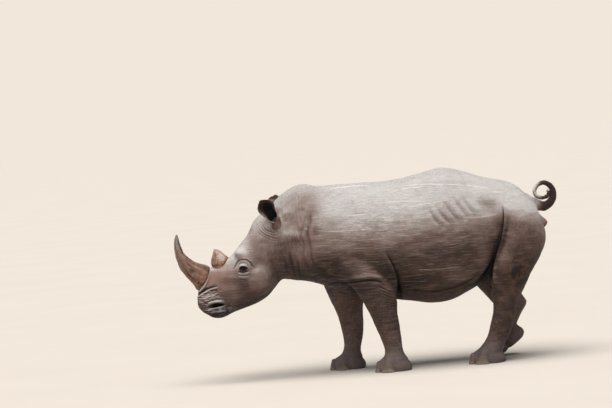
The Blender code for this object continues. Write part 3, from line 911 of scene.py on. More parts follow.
@dataclass(frozen=True)
class SkinFinish:
    """Thick dry hide: warm dark grey below with painted shade, pale above with dust and painted
    light, finely wrinkled all over.

    `tones` are the colours from the darkest underside, in painted shade, to the dustiest back, in
    painted light.
    """

    tones: tuple = (
        (0.0, (0.022, 0.012, 0.009, 1.0)),
        (0.14, (0.085, 0.052, 0.044, 1.0)),
        (0.32, (0.21, 0.142, 0.126, 1.0)),
        (0.55, (0.37, 0.29, 0.262, 1.0)),
        (1.0, (0.68, 0.645, 0.625, 1.0)),
    )
    # Painted shade in grooves, creases and round the eyes; it also darkens the cracks between
    # plates.
    deep: Row = (0.014, 0.008, 0.006, 1.0)
    # Painted highlight on crests round the eyes and nostrils and on the flank's ripples, where it
    # is partly dust.
    pale: Row = (0.64, 0.575, 0.54, 1.0)
    bare: Row = (0.86, 0.82, 0.79, 1.0)
    rufous: Row = (0.3, 0.165, 0.125, 1.0)
    # Painted sheen: a bluish reflection on the lips, in glints.
    wet: Row = (0.38, 0.39, 0.47, 1.0)
    lining: Row = (0.052, 0.027, 0.018, 1.0)
    # Painted shade: near black in the nostrils, deep in the ears and in the gaps under overhanging
    # hide.
    hollow_shade: Row = (0.003, 0.002, 0.002, 1.0)
    soil: Row = (0.27, 0.15, 0.092, 1.0)
    # Painted highlight along the rims of the ears' inner faces.
    rim: Row = (0.24, 0.165, 0.135, 1.0)
    slate: Row = (0.15, 0.13, 0.13, 1.0)
    lengthwise: Row = (8.0, 8.0, 130.0)
    standing: Row = (110.0, 50.0, 20.0)
    crazed: Row = (46.0, 46.0, 64.0)
    scrapes: tuple[Scrape, ...] = SCRAPES
    gaps: tuple[Gap, ...] = GAP_SHADOWS

    def material(self) -> Material:
        """The hide's material.

        Returns:
            The material, made from Object coordinates and the skin's own masks.
        """
        material, graph, shader, place = new_material("hide")
        mask, part = graph.mask, graph.parts(place)
        tone_with_painted_light, leg, ripple = mask("tone_with_painted_light"), mask("leg"), mask("ripple")
        flat, tall, net = (WRINKLES.on(graph, vector=place, stretch=stretch, bend=bend)
                           for stretch, bend in ((self.lengthwise, 0.6), (self.standing, 0.6),
                                                 (self.crazed, 1.0)))
        upright = mask("upright")
        groove, streak = (graph.blend(leg, graph.blend(upright, flat[name], tall[name]), net[name])
                          for name in ("height", "cloud"))
        plates, grain = (CRACKS.on(graph, vector=place, scale=scale, gap=gap)["height"]
                         for scale, gap in ((58.0, 0.12), (150.0, 0.2)))
        cloud, blotch = graph.noise(place, 2.4, 5.0, 0.6), graph.noise(place, 11.0, 5.0, 0.62)
        uneven = (cloud - 0.5) * 0.4 + (blotch - 0.5) * 0.3 + (streak - 0.5) * 0.38
        level = tone_with_painted_light + uneven * graph.span(tone_with_painted_light, 0.0, 0.4, 0.3, 1.0)
        scraped_off = graph.span(level, 0.15, 0.9, 0.24, 0.85)
        colour = graph.coats(
            # The tone's colours: painted shade on the underside, painted light and dust on the
            # back.
            graph.ramp(level, self.tones),
            # Painted highlight, partly dust, on the crests of the flank's ripples.
            (graph.span(flat["cloud"], 0.48, 0.78) * ripple * 0.17, self.pale),
            # Painted shade in the grooves of the flank's ripples.
            ((1.0 - groove) * graph.span(ripple, 0.0, 1.0, 0.12, 0.38), self.deep),
            ((1.0 - plates) * graph.span(leg, 0.0, 1.0, 0.05, 0.32), self.deep),
            ((1.0 - grain) * 0.2, self.deep),
            *((SCRAPE.on(graph, vector=place, **asdict(line))["mask"] * scraped_off, self.bare)
              for line in self.scrapes),
            (mask("rufous") * graph.span(blotch, 0.3, 0.6, 0.35, 0.95), self.rufous),
            (SOIL.on(graph, vector=place, scale=8.0, reach=0.42)["mask"] * 0.22, self.soil),
            (mask("mud") * graph.span(blotch, 0.4, 0.62) * 0.4, self.soil),
            # Painted highlight on the crests round the eyes and nostrils.
            (mask("ridge_highlight") * 0.62, self.pale),
            (mask("foot") * 0.6, self.slate),
            # Painted shade in the creases, the furrow under the tail and round the eyes.
            (mask("fold"), self.deep),
            # Painted shadow in the gaps under overhanging hide.
            *((gap.drawn(graph, part), self.hollow_shade) for gap in self.gaps),
            # Painted sheen on the wet lips.
            (mask("wet"), self.wet),
            (mask("lining"), self.lining),
            # Painted highlight on the ears' rims.
            (mask("rim"), self.rim),
            # Painted shade in the nostrils and deep in the ears.
            (mask("hollow_shade"), self.hollow_shade))
        rough = graph.blend(mask("wet"), graph.span(level, 0.1, 0.8, 0.62, 0.88), 0.25)
        graph.fill(shader, {"Base Color": colour, "Roughness": rough, "Specular IOR Level": 0.22})
        relief(graph, shader, (streak, 0.007, 0.55), (groove, 0.0016, 0.6),
               (plates, 0.0014, 0.35), (grain, 0.0008, 0.55))
        return material


@dataclass(frozen=True)
class HornFinish:
    """Horn of matted fibres: dark and warm at the root, greyer and smoother at the tip.

    `facet` is a worn place seen from the side: its x, its height and its reach.
    """

    name: str
    root: Row
    middle: Row
    tip: Row
    dark: Row
    scar: Row
    scarred: float = 0.0
    bands: float = 0.0
    facet: Row = (0.0, 0.0, 0.0)

    def material(self) -> Material:
        """The horn's material.

        Returns:
            The material, made from its own map of (round, along) and Object coordinates.
        """
        material, graph, shader, place = new_material(self.name)
        chart = graph.signal("ShaderNodeUVMap", {}, uv_map="grain")
        along = graph.parts(chart)["Y"]
        fibres = FIBRES.on(graph, vector=chart, across=46.0, along=3.0)
        coarse = FIBRES.on(graph, vector=chart, across=15.0, along=1.6)
        blotch = graph.span(graph.noise(place, 34.0, 5.0, 0.65, 0.8), 0.44, 0.62)
        stained = graph.span(graph.noise(place, 19.0, 4.0, 0.7, 1.2), 0.5, 0.66)
        rings = graph.noise(graph.vector("MULTIPLY", chart, (1.5, 42.0, 1.0)), 1.0, 3.0, 0.6, 0.7)
        banded = graph.span(rings, 0.5, 0.62) * graph.span(along, 0.62, 0.3)
        colour = graph.coats(
            self.root,
            (graph.span(along, 0.05, 0.5), self.middle),
            (graph.span(along, 0.45, 0.98), self.tip),
            (fibres["mask"] * 0.84, self.dark),
            (coarse["mask"] * 0.56, self.dark),
            (blotch * self.scarred, self.scar),
            (stained * 0.3, self.dark),
            (banded * self.bands, self.dark),
            (SOIL.on(graph, vector=place, scale=22.0, reach=0.2)["mask"] * 0.25, self.scar))
        x, z, reach = self.facet
        if reach:
            away = graph.vector("MULTIPLY", graph.vector("SUBTRACT", place, (x, 0.0, z)),
                                (1.0, 0.0, 1.0))
            away = graph.vector("LENGTH", away, output="Value") + (blotch - 0.5) * 0.02
            colour = graph.mix(graph.span(away, reach, 0.5 * reach) * 0.72, colour, self.scar)
        rough = graph.span(along, 0.2, 1.0, 0.66, 0.42) + blotch * 0.12
        graph.fill(shader, {"Base Color": colour, "Roughness": rough})
        relief(graph, shader, (coarse["height"], 0.006, 0.7), (fibres["height"], 0.003, 0.8),
               (rings, 0.003, 0.15 + 0.45 * self.bands), (blotch, 0.002, 0.6))
        return material


@dataclass(frozen=True)
class NailFinish:
    """Worn hoof horn: dark slate, paler at its lower edge, with upright fibres and soil."""

    dark: Row = (0.12, 0.1, 0.09, 1.0)
    light: Row = (0.31, 0.27, 0.23, 1.0)
    soil: Row = (0.2, 0.11, 0.07, 1.0)

    def material(self) -> Material:
        """The nails' material.

        Returns:
            The material, made from each nail's map of (round, up) and Object coordinates.
        """
        material, graph, shader, place = new_material("toenail")
        chart = graph.signal("ShaderNodeUVMap", {}, uv_map="grain")
        fibres = FIBRES.on(graph, vector=chart, across=26.0, along=3.0)
        cracks = CRACKS.on(graph, vector=place, scale=70.0, gap=0.06)["height"]
        soil = SOIL.on(graph, vector=place, scale=30.0, reach=0.16)["mask"]
        colour = graph.coats(
            self.dark,
            (graph.span(graph.parts(chart)["Y"], 0.55, 0.0), self.light),
            (fibres["mask"] * 0.5, self.dark),
            (soil * 0.5, self.soil))
        rough = graph.span(soil, 0.0, 1.0, 0.48, 0.85)
        graph.fill(shader, {"Base Color": colour, "Roughness": rough})
        relief(graph, shader, (fibres["height"], 0.002, 0.6), (cracks, 0.001, 0.4))
        return material


@dataclass(frozen=True)
class EyeFinish:
    """A wet dark eye: brown iris, black pupil and a dull white only at the far corners."""

    pupil: Row = (0.002, 0.0015, 0.0015, 1.0)
    iris: Row = (0.016, 0.008, 0.004, 1.0)
    rim: Row = (0.004, 0.003, 0.003, 1.0)
    white: Row = (0.03, 0.02, 0.016, 1.0)

    def material(self) -> Material:
        """The eyeball's material.

        Returns:
            The material, made from its mask of angle off the line of sight.
        """
        material, graph, shader, place = new_material("eyeball")
        off = graph.mask("off_axis")
        ray = graph.span(graph.noise(place, 420.0, 3.0), 0.35, 0.7)
        colour = graph.coats(
            self.pupil,
            (graph.span(off, 0.17, 0.2), graph.mix(ray * 0.5, self.iris, self.rim)),
            (graph.span(off, 0.46, 0.53), self.rim),
            (graph.span(off, 0.6, 0.8), self.white))
        graph.fill(shader, {"Base Color": colour, "Roughness": 0.07, "Specular IOR Level": 0.16,
                            "Coat Weight": 0.06, "Coat Roughness": 0.03})
        return material


@dataclass(frozen=True)
class BristleFinish:
    """Coarse hair, dark at the root and browner towards the tip."""

    name: str
    root: Row = (0.02, 0.013, 0.01, 1.0)
    tip: Row = (0.085, 0.05, 0.034, 1.0)

    def material(self) -> Material:
        """The hair's material.

        Returns:
            The material, made from its mask of how far a point is along its hair.
        """
        material, graph, shader, place = new_material(self.name)
        varied = graph.span(graph.noise(place, 60.0, 2.0), 0.3, 0.7, 0.5, 1.0)
        colour = graph.mix(graph.mask("along") * varied, self.root, self.tip)
        graph.fill(shader, {"Base Color": colour, "Roughness": 0.55})
        return material


@dataclass(frozen=True)
class FloorFinish:
    """A plain pale studio floor, barely mottled."""

    colour: Row = (0.72, 0.655, 0.585, 1.0)
    shade: Row = (0.705, 0.64, 0.57, 1.0)

    def material(self) -> Material:
        """The floor's material.

        Returns:
            The material, made from Object coordinates.
        """
        material, graph, shader, place = new_material("studio_floor")
        mottle = graph.span(graph.noise(place, 0.7, 4.0), 0.3, 0.7)
        graph.fill(shader, {"Base Color": graph.mix(mottle, self.colour, self.shade),
                            "Roughness": 0.9, "Specular IOR Level": 0.1})
        return material


# ---- flesh


@dataclass(frozen=True)
class Section:
    """One section of a loft, between a fore (or upper) and a rear (or lower) outline point (x, z).

    Its width is measured along Y. `widest` is how far its widest line lies from the rear point,
    as a share of the section's depth, and `power` squares its outline.
    """

    fore: Row
    rear: Row
    half_width: float
    y: float = 0.0
    widest: float = 0.5
    power: float = 2.1


def sections(*rows: Row) -> tuple[Section, ...]:
    """Sections from rows of numbers: fore x and z, rear x and z, and the other sizes in order."""
    return tuple(Section(row[:2], row[2:4], *row[4:]) for row in rows)


def loft_surface(rows: tuple[Section, ...], rings: int, around: int) -> Array:
    """Points of a loft.

    Each ring is a superellipse: across is the half width times the cosine of the angle to the
    power 2/n, and up is the depth above or below the widest line times the sine to that power.
    All the sizes run on one smooth curve through the sections.

    Args:
        rows: The sections in order.
        rings: How many rings.
        around: Points in a ring.

    Returns:
        Points shaped (rings, around, 3).
    """
    sizes = smooth_curve([(*s.fore, *s.rear, s.half_width, s.y, s.widest, s.power) for s in rows],
                         rings)
    fore, rear = sizes[:, [0, 5, 1]], sizes[:, [2, 5, 3]]
    half_width, widest, power = sizes[:, 4:5], sizes[:, 6:7], 2.0 / sizes[:, 7:8]
    depth = fore - rear
    length = np.linalg.norm(depth, axis=1)[:, None]
    centre = rear + widest * depth
    cos, sin = np.cos(circle(around))[None, :], np.sin(circle(around))[None, :]
    across = np.sign(cos) * np.abs(cos) ** power * np.maximum(half_width, 0.001)
    rise = np.sign(sin) * np.abs(sin) ** power
    rise = rise * length * np.where(rise > 0, 1.0 - widest, widest)
    points = centre[:, None, :] + unit(depth)[:, None, :] * rise[..., None]
    points[..., 1] += across
    return points


def loft(name: str, rows: tuple[Section, ...], per_section: int, around: int) -> Object:
    """A closed solid through sections.

    Args:
        name: The object's name.
        rows: The sections in order.
        per_section: Rings from each section to the next.
        around: Points in a ring.

    Returns:
        The solid.
    """
    return closed_rings(name, loft_surface(rows, (len(rows) - 1) * per_section + 1, around))


def globe(polar: Array, around: int) -> Array:
    """Points of a round globe: sine and cosine of an angle from the pole and one round it.

    Args:
        polar: Each ring's angle from the pole, in a column.
        around: Points in a ring.

    Returns:
        Points shaped (rings, around, 3).
    """
    turn = circle(around)[None, :]
    parts = (np.sin(polar) * np.cos(turn), np.sin(polar) * np.sin(turn), np.cos(polar))
    return np.stack(np.broadcast_arrays(*parts), axis=-1)


@dataclass(frozen=True)
class Mass:
    """A round mass under the skin, on both sides, tilted about Y."""

    centre: Row
    radii: Row
    tilt: float = 0.0

    def build(self, side: Side, around: int = 32) -> Object:
        """The mass as a globe of rings, stretched by its radii.

        Args:
            side: The side it is for.
            around: Points in a ring.

        Returns:
            The mass.
        """
        polar = np.linspace(0, math.pi, around // 2 + 1)[1:-1, None]
        rings, poles = globe(polar, around) * self.radii, np.array([(0, 0, 1), (0, 0, -1)])
        points = [rings, poles * self.radii]
        for part in points:
            part[..., 0], part[..., 2] = tipped(part[..., 0], part[..., 2], self.tilt)
        return closed_rings("mass", *(part + side.place(self.centre) for part in points))


@dataclass(frozen=True)
class Flesh:
    """The whole animal's body without ears and tail, from the same sizes as the solids."""

    back: float = 1.635
    nape_rise: float = 0.03
    croup_rise: float = 0.068
    belly: float = 0.545
    half: float = 0.49
    leg_y: float = 0.272
    shoulder_lean: float = 0.13
    elbow: float = 0.85
    left_forefoot_x: float = 0.133
    right_forefoot_x: float = -0.25
    voxel: float = 0.015
    passes: int = 16

    def trunk(self) -> tuple[Section, ...]:
        """Neck, chest, ribs, loin and rump.

        Returns:
            Upright sections, all of one squareness.
        """
        back, belly, half = self.back, self.belly, self.half
        rows = (  # place, top, bottom, half width and widest line
            (-0.9, 1.38, 0.96, 0.13, 0.47),
            (-0.78, 1.53, 0.87, 0.225, 0.44),
            (-0.66, back - 0.015, 0.838, 0.268, 0.42),
            (-0.53, back + self.nape_rise, 0.815, 0.305, 0.42),
            (-0.38, back + 0.002, 0.755, 0.35, 0.44),
            (-0.18, back + 0.001, 0.675, 0.398, 0.46),
            (0.08, back - 0.004, 0.62, half - 0.042, 0.47),
            (0.33, back + 0.004, 0.57, half - 0.008, 0.48),
            (0.52, back + 0.04, belly - 0.006, half, 0.48),
            (0.69, back + self.croup_rise, belly + 0.006, half - 0.004, 0.48),
            (0.86, back + 0.03, belly + 0.075, half - 0.025, 0.48),
            (1.02, back - 0.038, belly + 0.15, half - 0.055, 0.5),
            (1.19, back - 0.078, belly + 0.22, half - 0.1, 0.52),
            (1.31, back - 0.125, belly + 0.3, half - 0.16, 0.53),
            (1.42, back - 0.23, belly + 0.39, half - 0.26, 0.55),
            (1.5, back - 0.33, belly + 0.5, half - 0.37, 0.55))
        return sections(*((x, top, x, bottom, wide, 0.0, widest, 2.15)
                          for x, top, bottom, wide, widest in rows))

    def head(self) -> tuple[Section, ...]:
        """Head from the nape to the lips.

        Returns:
            Sections whose ends follow the forehead and the jaw.
        """
        return sections(
            (-0.62, 1.58, -0.66, 0.9, 0.2, 0.0, 0.46),
            (-0.8, 1.5, -0.765, 0.85, 0.224, 0.0, 0.42),
            (-0.905, 1.44, -0.835, 0.78, 0.226, 0.0, 0.45),
            (-0.975, 1.37, -0.905, 0.712, 0.214, 0.0, 0.5),
            (-1.025, 1.275, -0.985, 0.672, 0.2, 0.0, 0.54),
            (-1.1, 1.192, -1.06, 0.645, 0.183, 0.0, 0.56),
            (-1.185, 1.105, -1.13, 0.625, 0.162, 0.0, 0.54),
            (-1.275, 1.045, -1.19, 0.606, 0.145, 0.0, 0.5),
            (-1.37, 1.015, -1.235, 0.59, 0.134, 0.0, 0.46),
            (-1.45, 0.93, -1.275, 0.576, 0.132, 0.0, 0.42, 2.3),
            (-1.5, 0.835, -1.318, 0.562, 0.138, 0.0, 0.44, 2.6),
            (-1.514, 0.745, -1.36, 0.572, 0.143, 0.0, 0.5, 2.9),
            (-1.512, 0.685, -1.41, 0.586, 0.134, 0.0, 0.5, 3.1),
            (-1.492, 0.65, -1.448, 0.606, 0.108, 0.0, 0.5, 3.0))

    def foreleg(self, side: Side) -> tuple[Section, ...]:
        """A column foreleg, from the shoulder down, leaning in towards the chest above the elbow.

        Args:
            side: The side it is on.

        Returns:
            Its level sections.
        """
        column = (  # height, length fore and aft, half width
            (1.36, 0.3, 0.085), (1.2, 0.44, 0.13), (1.02, 0.46, 0.15), (0.86, 0.43, 0.15),
            (0.74, 0.37, 0.14), (0.62, 0.305, 0.128), (0.5, 0.236, 0.112), (0.4, 0.212, 0.102),
            (0.3, 0.186, 0.093), (0.2, 0.156, 0.088), (0.14, 0.172, 0.1), (0.08, 0.262, 0.128),
            (0.03, 0.306, 0.142), (-0.02, 0.296, 0.136))
        middles = {
            Side.LEFT: (-0.27, -0.2, -0.115, -0.045, 0.02, 0.058, 0.086, 0.105, 0.127, 0.143,
                        0.146, 0.142, self.left_forefoot_x, self.left_forefoot_x),
            Side.RIGHT: (-0.34, -0.3, -0.26, -0.235, -0.222, -0.214, -0.2, -0.189, -0.186,
                         -0.199, -0.216, -0.24, self.right_forefoot_x, self.right_forefoot_x),
        }[side]
        return sections(*(
            (x - length / 2, height, x + length / 2, height, half_width,
             side.value * (self.leg_y - self.shoulder_lean * max(0.0, height - self.elbow)))
            for (height, length, half_width), x in zip(column, middles)))

    def hind_leg(self, side: Side) -> tuple[Section, ...]:
        """A hind leg: the left one stands, and the right one pushes off with its heel up.

        Args:
            side: The side it is on.

        Returns:
            Its sections from the hip down.
        """
        leg = self.leg_y
        rows = {  # fore x and z, rear x and z, half width, distance from the middle
            Side.LEFT: (
                (1.19, 1.43, 1.37, 1.43, 0.12, 0.2), (1.16, 1.3, 1.465, 1.31, 0.18, 0.22),
                (1.145, 1.15, 1.52, 1.15, 0.204, 0.24), (1.1, 1.0, 1.527, 1.01, 0.205, 0.25),
                (1.04, 0.86, 1.46, 0.86, 0.188, 0.258), (1.008, 0.74, 1.378, 0.74, 0.165, 0.262),
                (1.012, 0.63, 1.318, 0.63, 0.142, 0.266), (1.03, 0.51, 1.243, 0.51, 0.116, leg),
                (1.018, 0.41, 1.22, 0.41, 0.106, leg), (0.986, 0.31, 1.19, 0.31, 0.1, leg),
                (0.958, 0.23, 1.154, 0.23, 0.098, leg), (0.895, 0.145, 1.098, 0.145, 0.104, leg),
                (0.825, 0.08, 1.083, 0.08, 0.122, leg), (0.79, 0.03, 1.1, 0.03, 0.136, leg),
                (0.795, -0.02, 1.095, -0.02, 0.13, leg)),
            Side.RIGHT: (
                (1.15, 1.43, 1.37, 1.43, 0.12, 0.2), (1.09, 1.3, 1.465, 1.31, 0.182, 0.22),
                (1.01, 1.13, 1.52, 1.15, 0.205, 0.24), (0.925, 0.95, 1.52, 1.0, 0.203, 0.25),
                (0.89, 0.79, 1.47, 0.86, 0.186, 0.258), (0.905, 0.68, 1.4, 0.75, 0.162, 0.262),
                (0.96, 0.6, 1.34, 0.635, 0.138, 0.266), (1.03, 0.51, 1.32, 0.54, 0.118, leg),
                (1.095, 0.42, 1.368, 0.455, 0.108, leg), (1.105, 0.34, 1.308, 0.36, 0.101, leg),
                (1.086, 0.26, 1.264, 0.275, 0.098, leg), (1.055, 0.19, 1.278, 0.24, 0.104, leg),
                (1.015, 0.12, 1.312, 0.215, 0.122, leg), (0.985, 0.045, 1.322, 0.186, 0.134, leg),
                (1.02, -0.034, 1.306, 0.146, 0.13, leg)),
        }[side]
        return sections(*((*row, side.value * y) for *row, y in rows))

    def masses(self) -> tuple[Mass, ...]:
        """The rounded masses of one side.

        Returns:
            Brow, cheek, nostril wing, ear seat and hip.
        """
        return (
            Mass((-1.065, 0.1, 1.08), (0.1, 0.082, 0.06), 0.6),
            Mass((-0.945, 0.15, 0.9), (0.115, 0.085, 0.17), 0.35),
            Mass((-1.385, 0.096, 0.735), (0.085, 0.05, 0.07), 0.3),
            Mass((-0.795, 0.15, 1.295), (0.07, 0.06, 0.075)),
            Mass((1.0, 0.275, 1.36), (0.2, 0.125, 0.15), 0.4))

    def build(self) -> Object:
        """Blends the lofts and masses into one body.

        Returns:
            One closed mesh of squares, smoothly subdivided once.
        """
        parts = [loft("trunk", self.trunk(), 6, 72), loft("head", self.head(), 6, 56)]
        parts += [loft("foreleg", self.foreleg(side), 5, 48) for side in Side]
        parts += [loft("hind_leg", self.hind_leg(side), 5, 48) for side in Side]
        parts += [mass.build(side) for mass in self.masses() for side in Side]
        body = remeshed(joined("body_lofts", parts), self.voxel, self.passes, "body")
        finer = body.modifiers.new("finer", "SUBSURF")
        finer.levels = finer.render_levels = 1
        return evaluated(body, "body")


@dataclass(frozen=True)
class Ear:
    """A cupped ear: a rolled sheet, nearly a tube at its root, that opens forwards and outwards."""

    side: Side
    root: Row
    lean_back: float
    lean_out: float
    face: float
    height: float
    radii: Row = (0.047, 0.059, 0.0855, 0.042)
    rolls: Row = (2.88, 1.62, 1.23, 1.68)
    thickness: float = 0.0115
    rows: int = 64
    columns: int = 56

    def frame(self) -> tuple[Array, Array, Array]:
        """The ear's own axes.

        Returns:
            Unit vectors along the ear, out of its opening and across it.
        """
        out = self.side.value
        along = unit((math.tan(self.lean_back), out * math.tan(self.lean_out), 1.0))
        look = np.array([-math.cos(self.face), out * math.sin(self.face), 0.0])
        opening = unit(look - along * look.dot(along))
        return along, opening, np.cross(along, opening)

    def radius(self, t: Array) -> Array:
        """Radius of the sheet: slim at the root, fullest two thirds up, closing to the tip."""
        return self.along_curve(self.radii, t)

    def roll(self, t: Array) -> Array:
        """Half angle of the rolled sheet: nearly shut at the root, an open cup above."""
        return self.along_curve(self.rolls, t)

    def along_curve(self, keys: Row, t: Array, samples: int = 31) -> Array:
        """Values at shares t of a smooth curve through keys."""
        return np.interp(t, np.linspace(0, 1, samples), smooth_values(keys, samples))

    def reach(self, t: Array) -> Array:
        """Half angle of the sheet at share t, its roll drawn in fast at the rounded tip."""
        past = ((t - 0.5) / 0.502).clip(0, None)
        return self.roll(t) * np.sqrt(np.clip(1.0 - past ** 3.2, 0.004, 1.0))

    def surface(self, t: Array, v: Array, offset: Array | float) -> Array:
        """Points on the rolled sheet.

        The height above the root is the ear's height times t, a little less towards the tip, and
        the point stands at the angle v times the roll on a circle round the ear's axis.

        Args:
            t: Share up the ear.
            v: Share of its roll, from -1 to 1.
            offset: How far outside the sheet.

        Returns:
            The points.
        """
        along, opening, across = self.frame()
        angle = v * self.reach(t)
        radius = self.radius(t) + offset
        height = self.height * t * (1.0 - 0.1 * t)
        points = np.array(self.root) + height[..., None] * along
        points = points - (radius * np.cos(angle))[..., None] * opening
        return points + (radius * np.sin(angle))[..., None] * across

    def build(self) -> Object:
        """The cup: an outer and an inner sheet, thinner towards the edges, joined there.

        Returns:
            The closed cup.
        """
        t, v = np.meshgrid(np.linspace(0, 1, self.rows), np.linspace(-1, 1, self.columns),
                           indexing="ij")
        edge = np.maximum(np.abs(v), ease(t, 0.6, 1.0)) ** 6
        inner = self.surface(t, v, -self.thickness * (1.0 - 0.35 * edge))
        return slab("ear_cup", self.surface(t, v, 0.0), inner)

    def plug(self) -> Object:
        """The fleshy root that carries the cup and sits in the head.

        Returns:
            The root.
        """
        along = self.frame()[0]
        root = np.array(self.root)
        deep = root - 0.105 * np.array([0.05, self.side.value * 0.66, 0.75])
        keys = [deep, 0.5 * (deep + root) - 0.008 * along, root, root + 0.028 * along]
        return tube("ear_plug", smooth_curve(keys, 20),
                    smooth_values((0.042, 0.044, 0.04, 0.027), 20))

    def local(self, points: Array) -> tuple[Array, Array, Array]:
        """Where points lie by the ear's own measures.

        Args:
            points: Places.

        Returns:
            Share up the ear, distance from its axis, and share of the roll from -1 to 1.
        """
        along, opening, across = self.frame()
        away = points - np.array(self.root)
        up = away @ along
        flat = away - up[:, None] * along
        t = up / self.height
        angle = np.arctan2(flat @ across, -(flat @ opening))
        return t, np.linalg.norm(flat, axis=1), angle / self.reach(np.clip(t, 0, 1))

    def inside(self, points: Array) -> dict[str, Array]:
        """Masks of the cup's inner face: all of it, painted shade in the black hollow deep in it,
        and painted highlight on its pale rim.

        Args:
            points: The skin's points.

        Returns:
            The masks by name.
        """
        t, away, v = self.local(points)
        wall = self.radius(np.clip(t, 0, 1)) - 0.6 * self.thickness
        inner = ease(wall - away, -0.001, 0.002) * ease(t, 0.0, 0.05) * ease(t, 1.06, 1.0)
        flat = np.hypot((t - 0.34) / 0.44, v / (0.62 + 0.3 * ease(t, 0.4, 0.15)))
        # Painted highlight on the rim, and painted shade in the hollow deep in the cup.
        rim = inner * ease(np.abs(v), 0.66, 0.92) * ease(t, 0.85, 0.55) * ease(t, 0.15, 0.4)
        return {"lining": inner, "hollow_shade": inner * ease(flat, 1.1, 0.72), "rim": rim}


@dataclass(frozen=True)
class Tail:
    """The tail: out of the rump, up, and forwards round one turn that drifts to the left."""

    keys: tuple[Row, ...] = (
        (1.39, 0.0, 1.375), (1.47, 0.0, 1.322), (1.56, 0.0, 1.292),
        (1.628, 0.0, 1.33), (1.65, -0.002, 1.4), (1.628, -0.008, 1.462),
        (1.574, -0.018, 1.495), (1.518, -0.032, 1.48), (1.485, -0.046, 1.43),
        (1.5, -0.058, 1.385), (1.55, -0.066, 1.366), (1.598, -0.07, 1.385),
        (1.61, -0.072, 1.425))
    thick: Row = (0.052, 0.048, 0.04, 0.034, 0.029, 0.025, 0.021, 0.019, 0.0175, 0.0165, 0.016,
                  0.014, 0.009)
    rings: int = 240

    def path(self, samples: int) -> Array:
        """Points along the tail's middle."""
        return smooth_curve(self.keys, samples)

    def radii(self, samples: int) -> Array:
        """Radius along the tail, with shallow rings of wrinkles.

        The wrinkles are the cube of the sine of an angle whose pace changes along the tail.

        Args:
            samples: How many radii.

        Returns:
            The radii.
        """
        share = np.linspace(0, 1, samples)
        ripple = 1.0 - 0.045 * np.abs(np.sin(share * 62.0 + 2.0 * np.sin(share * 9.0))) ** 3
        return smooth_values(self.thick, samples) * ripple

    def build(self) -> Object:
        """The tail as a closed tube."""
        return tube("tail", self.path(self.rings), self.radii(self.rings))


# ---- folds of the skin


def nearest_on_path(places: Array, path: Array) -> tuple[Array, Array]:
    """Where each place lies beside a path, in the side view.

    Args:
        places: Points (x, z).
        path: Points (x, z) along the path.

    Returns:
        Share of the path at the nearest point, and the signed distance to it: positive behind a
        falling path and above one that runs rearwards.
    """
    start, step = path[:-1], np.diff(path, axis=0)
    away = places[:, None, :] - start[None]
    share = np.clip((away * step).sum(-1) / (step**2).sum(-1), 0.0, 1.0)
    miss = away - share[..., None] * step
    square = (miss**2).sum(-1)
    pick = square.argmin(axis=1)
    rows = np.arange(len(places))
    cross = step[pick, 0] * away[rows, pick, 1] - step[pick, 1] * away[rows, pick, 0]
    lengths = np.concatenate([[0.0], np.cumsum(np.linalg.norm(step, axis=1))])
    done = lengths[pick] + share[rows, pick] * np.diff(lengths)[pick]
    return done / lengths[-1], np.sqrt(square[rows, pick]) * np.sign(cross)


@dataclass(frozen=True)
class Crease:
    """A fold pressed into the skin along a path in the side view.

    `depth` holds depths evenly spread along the path. `before` and `after` are the groove's widths
    on the negative and the positive side of the path, and a roll stands beside it. `flare` widens
    the two sides towards the path's end, by that many times the cube of the share gone. The groove
    is darkened by painted shade at the strength `dark`, fully from the depth `full_dark`.
    """

    path: tuple[Row, ...]
    depth: Row
    before: float = 0.012
    after: float = 0.012
    roll: float = 0.0
    roll_width: float = 0.03
    dark: float = 1.0
    edge: float = 0.04
    least_y: float = 0.0
    sides: tuple[Side, ...] = tuple(Side)
    roll_side: int = 1
    sharpness: float = 1.25
    flare: Row = (0.0, 0.0)
    full_dark: float = 0.008
    samples_per_key: int = 12

    def press(self, points: Array) -> tuple[Array, Array]:
        """How far each point moves outwards, and how far it lies in the groove.

        The groove is its depth times exp(-(distance / width) ** sharpness), and the roll is a bell
        curve at its own width from the path. Both fade out at the path's two ends.

        Args:
            points: The skin's points.

        Returns:
            The move along the normal, in metres, and the groove's mask of painted shade.
        """
        path = smooth_curve(self.path, self.samples_per_key * len(self.path))
        reach = 4.0 * max(self.before * (1.0 + self.flare[0]), self.after * (1.0 + self.flare[1]),
                          self.roll_width)
        low, high = path.min(axis=0) - reach, path.max(axis=0) + reach
        side = np.zeros(len(points), bool)
        for kept in self.sides:
            side |= points[:, 1] * kept.value > self.least_y
        flat = points[:, [0, 2]]
        near = np.flatnonzero(side & (flat > low).all(axis=1) & (flat < high).all(axis=1))
        move, groove = np.zeros((2, len(points)))
        share, away = nearest_on_path(flat[near], path)
        depth = np.interp(share, np.linspace(0, 1, len(self.depth)), self.depth)
        taper = ease(share, 0.0, self.edge) * ease(share, 1.0, 1.0 - self.edge)
        past = (share <= 0.0) | (share >= 1.0)
        end = np.where(past, hill(away, 0.0, self.before), 1.0)
        width = np.where(away > 0, self.after * (1.0 + self.flare[1] * share**3),
                         self.before * (1.0 + self.flare[0] * share**3))
        cut = np.exp(-(np.abs(away) / width) ** self.sharpness) * taper * end
        beside = hill(away * self.roll_side, self.roll_width, 0.75 * self.roll_width) * taper
        move[near] = beside * self.roll - depth * cut
        # Painted shade in the groove, stronger where the crease is deeper.
        groove[near] = cut**1.2 * self.dark * np.clip(depth / self.full_dark, 0.0, 1.0)
        return move, groove


LEFT_ONLY, RIGHT_ONLY = (Side.LEFT,), (Side.RIGHT,)

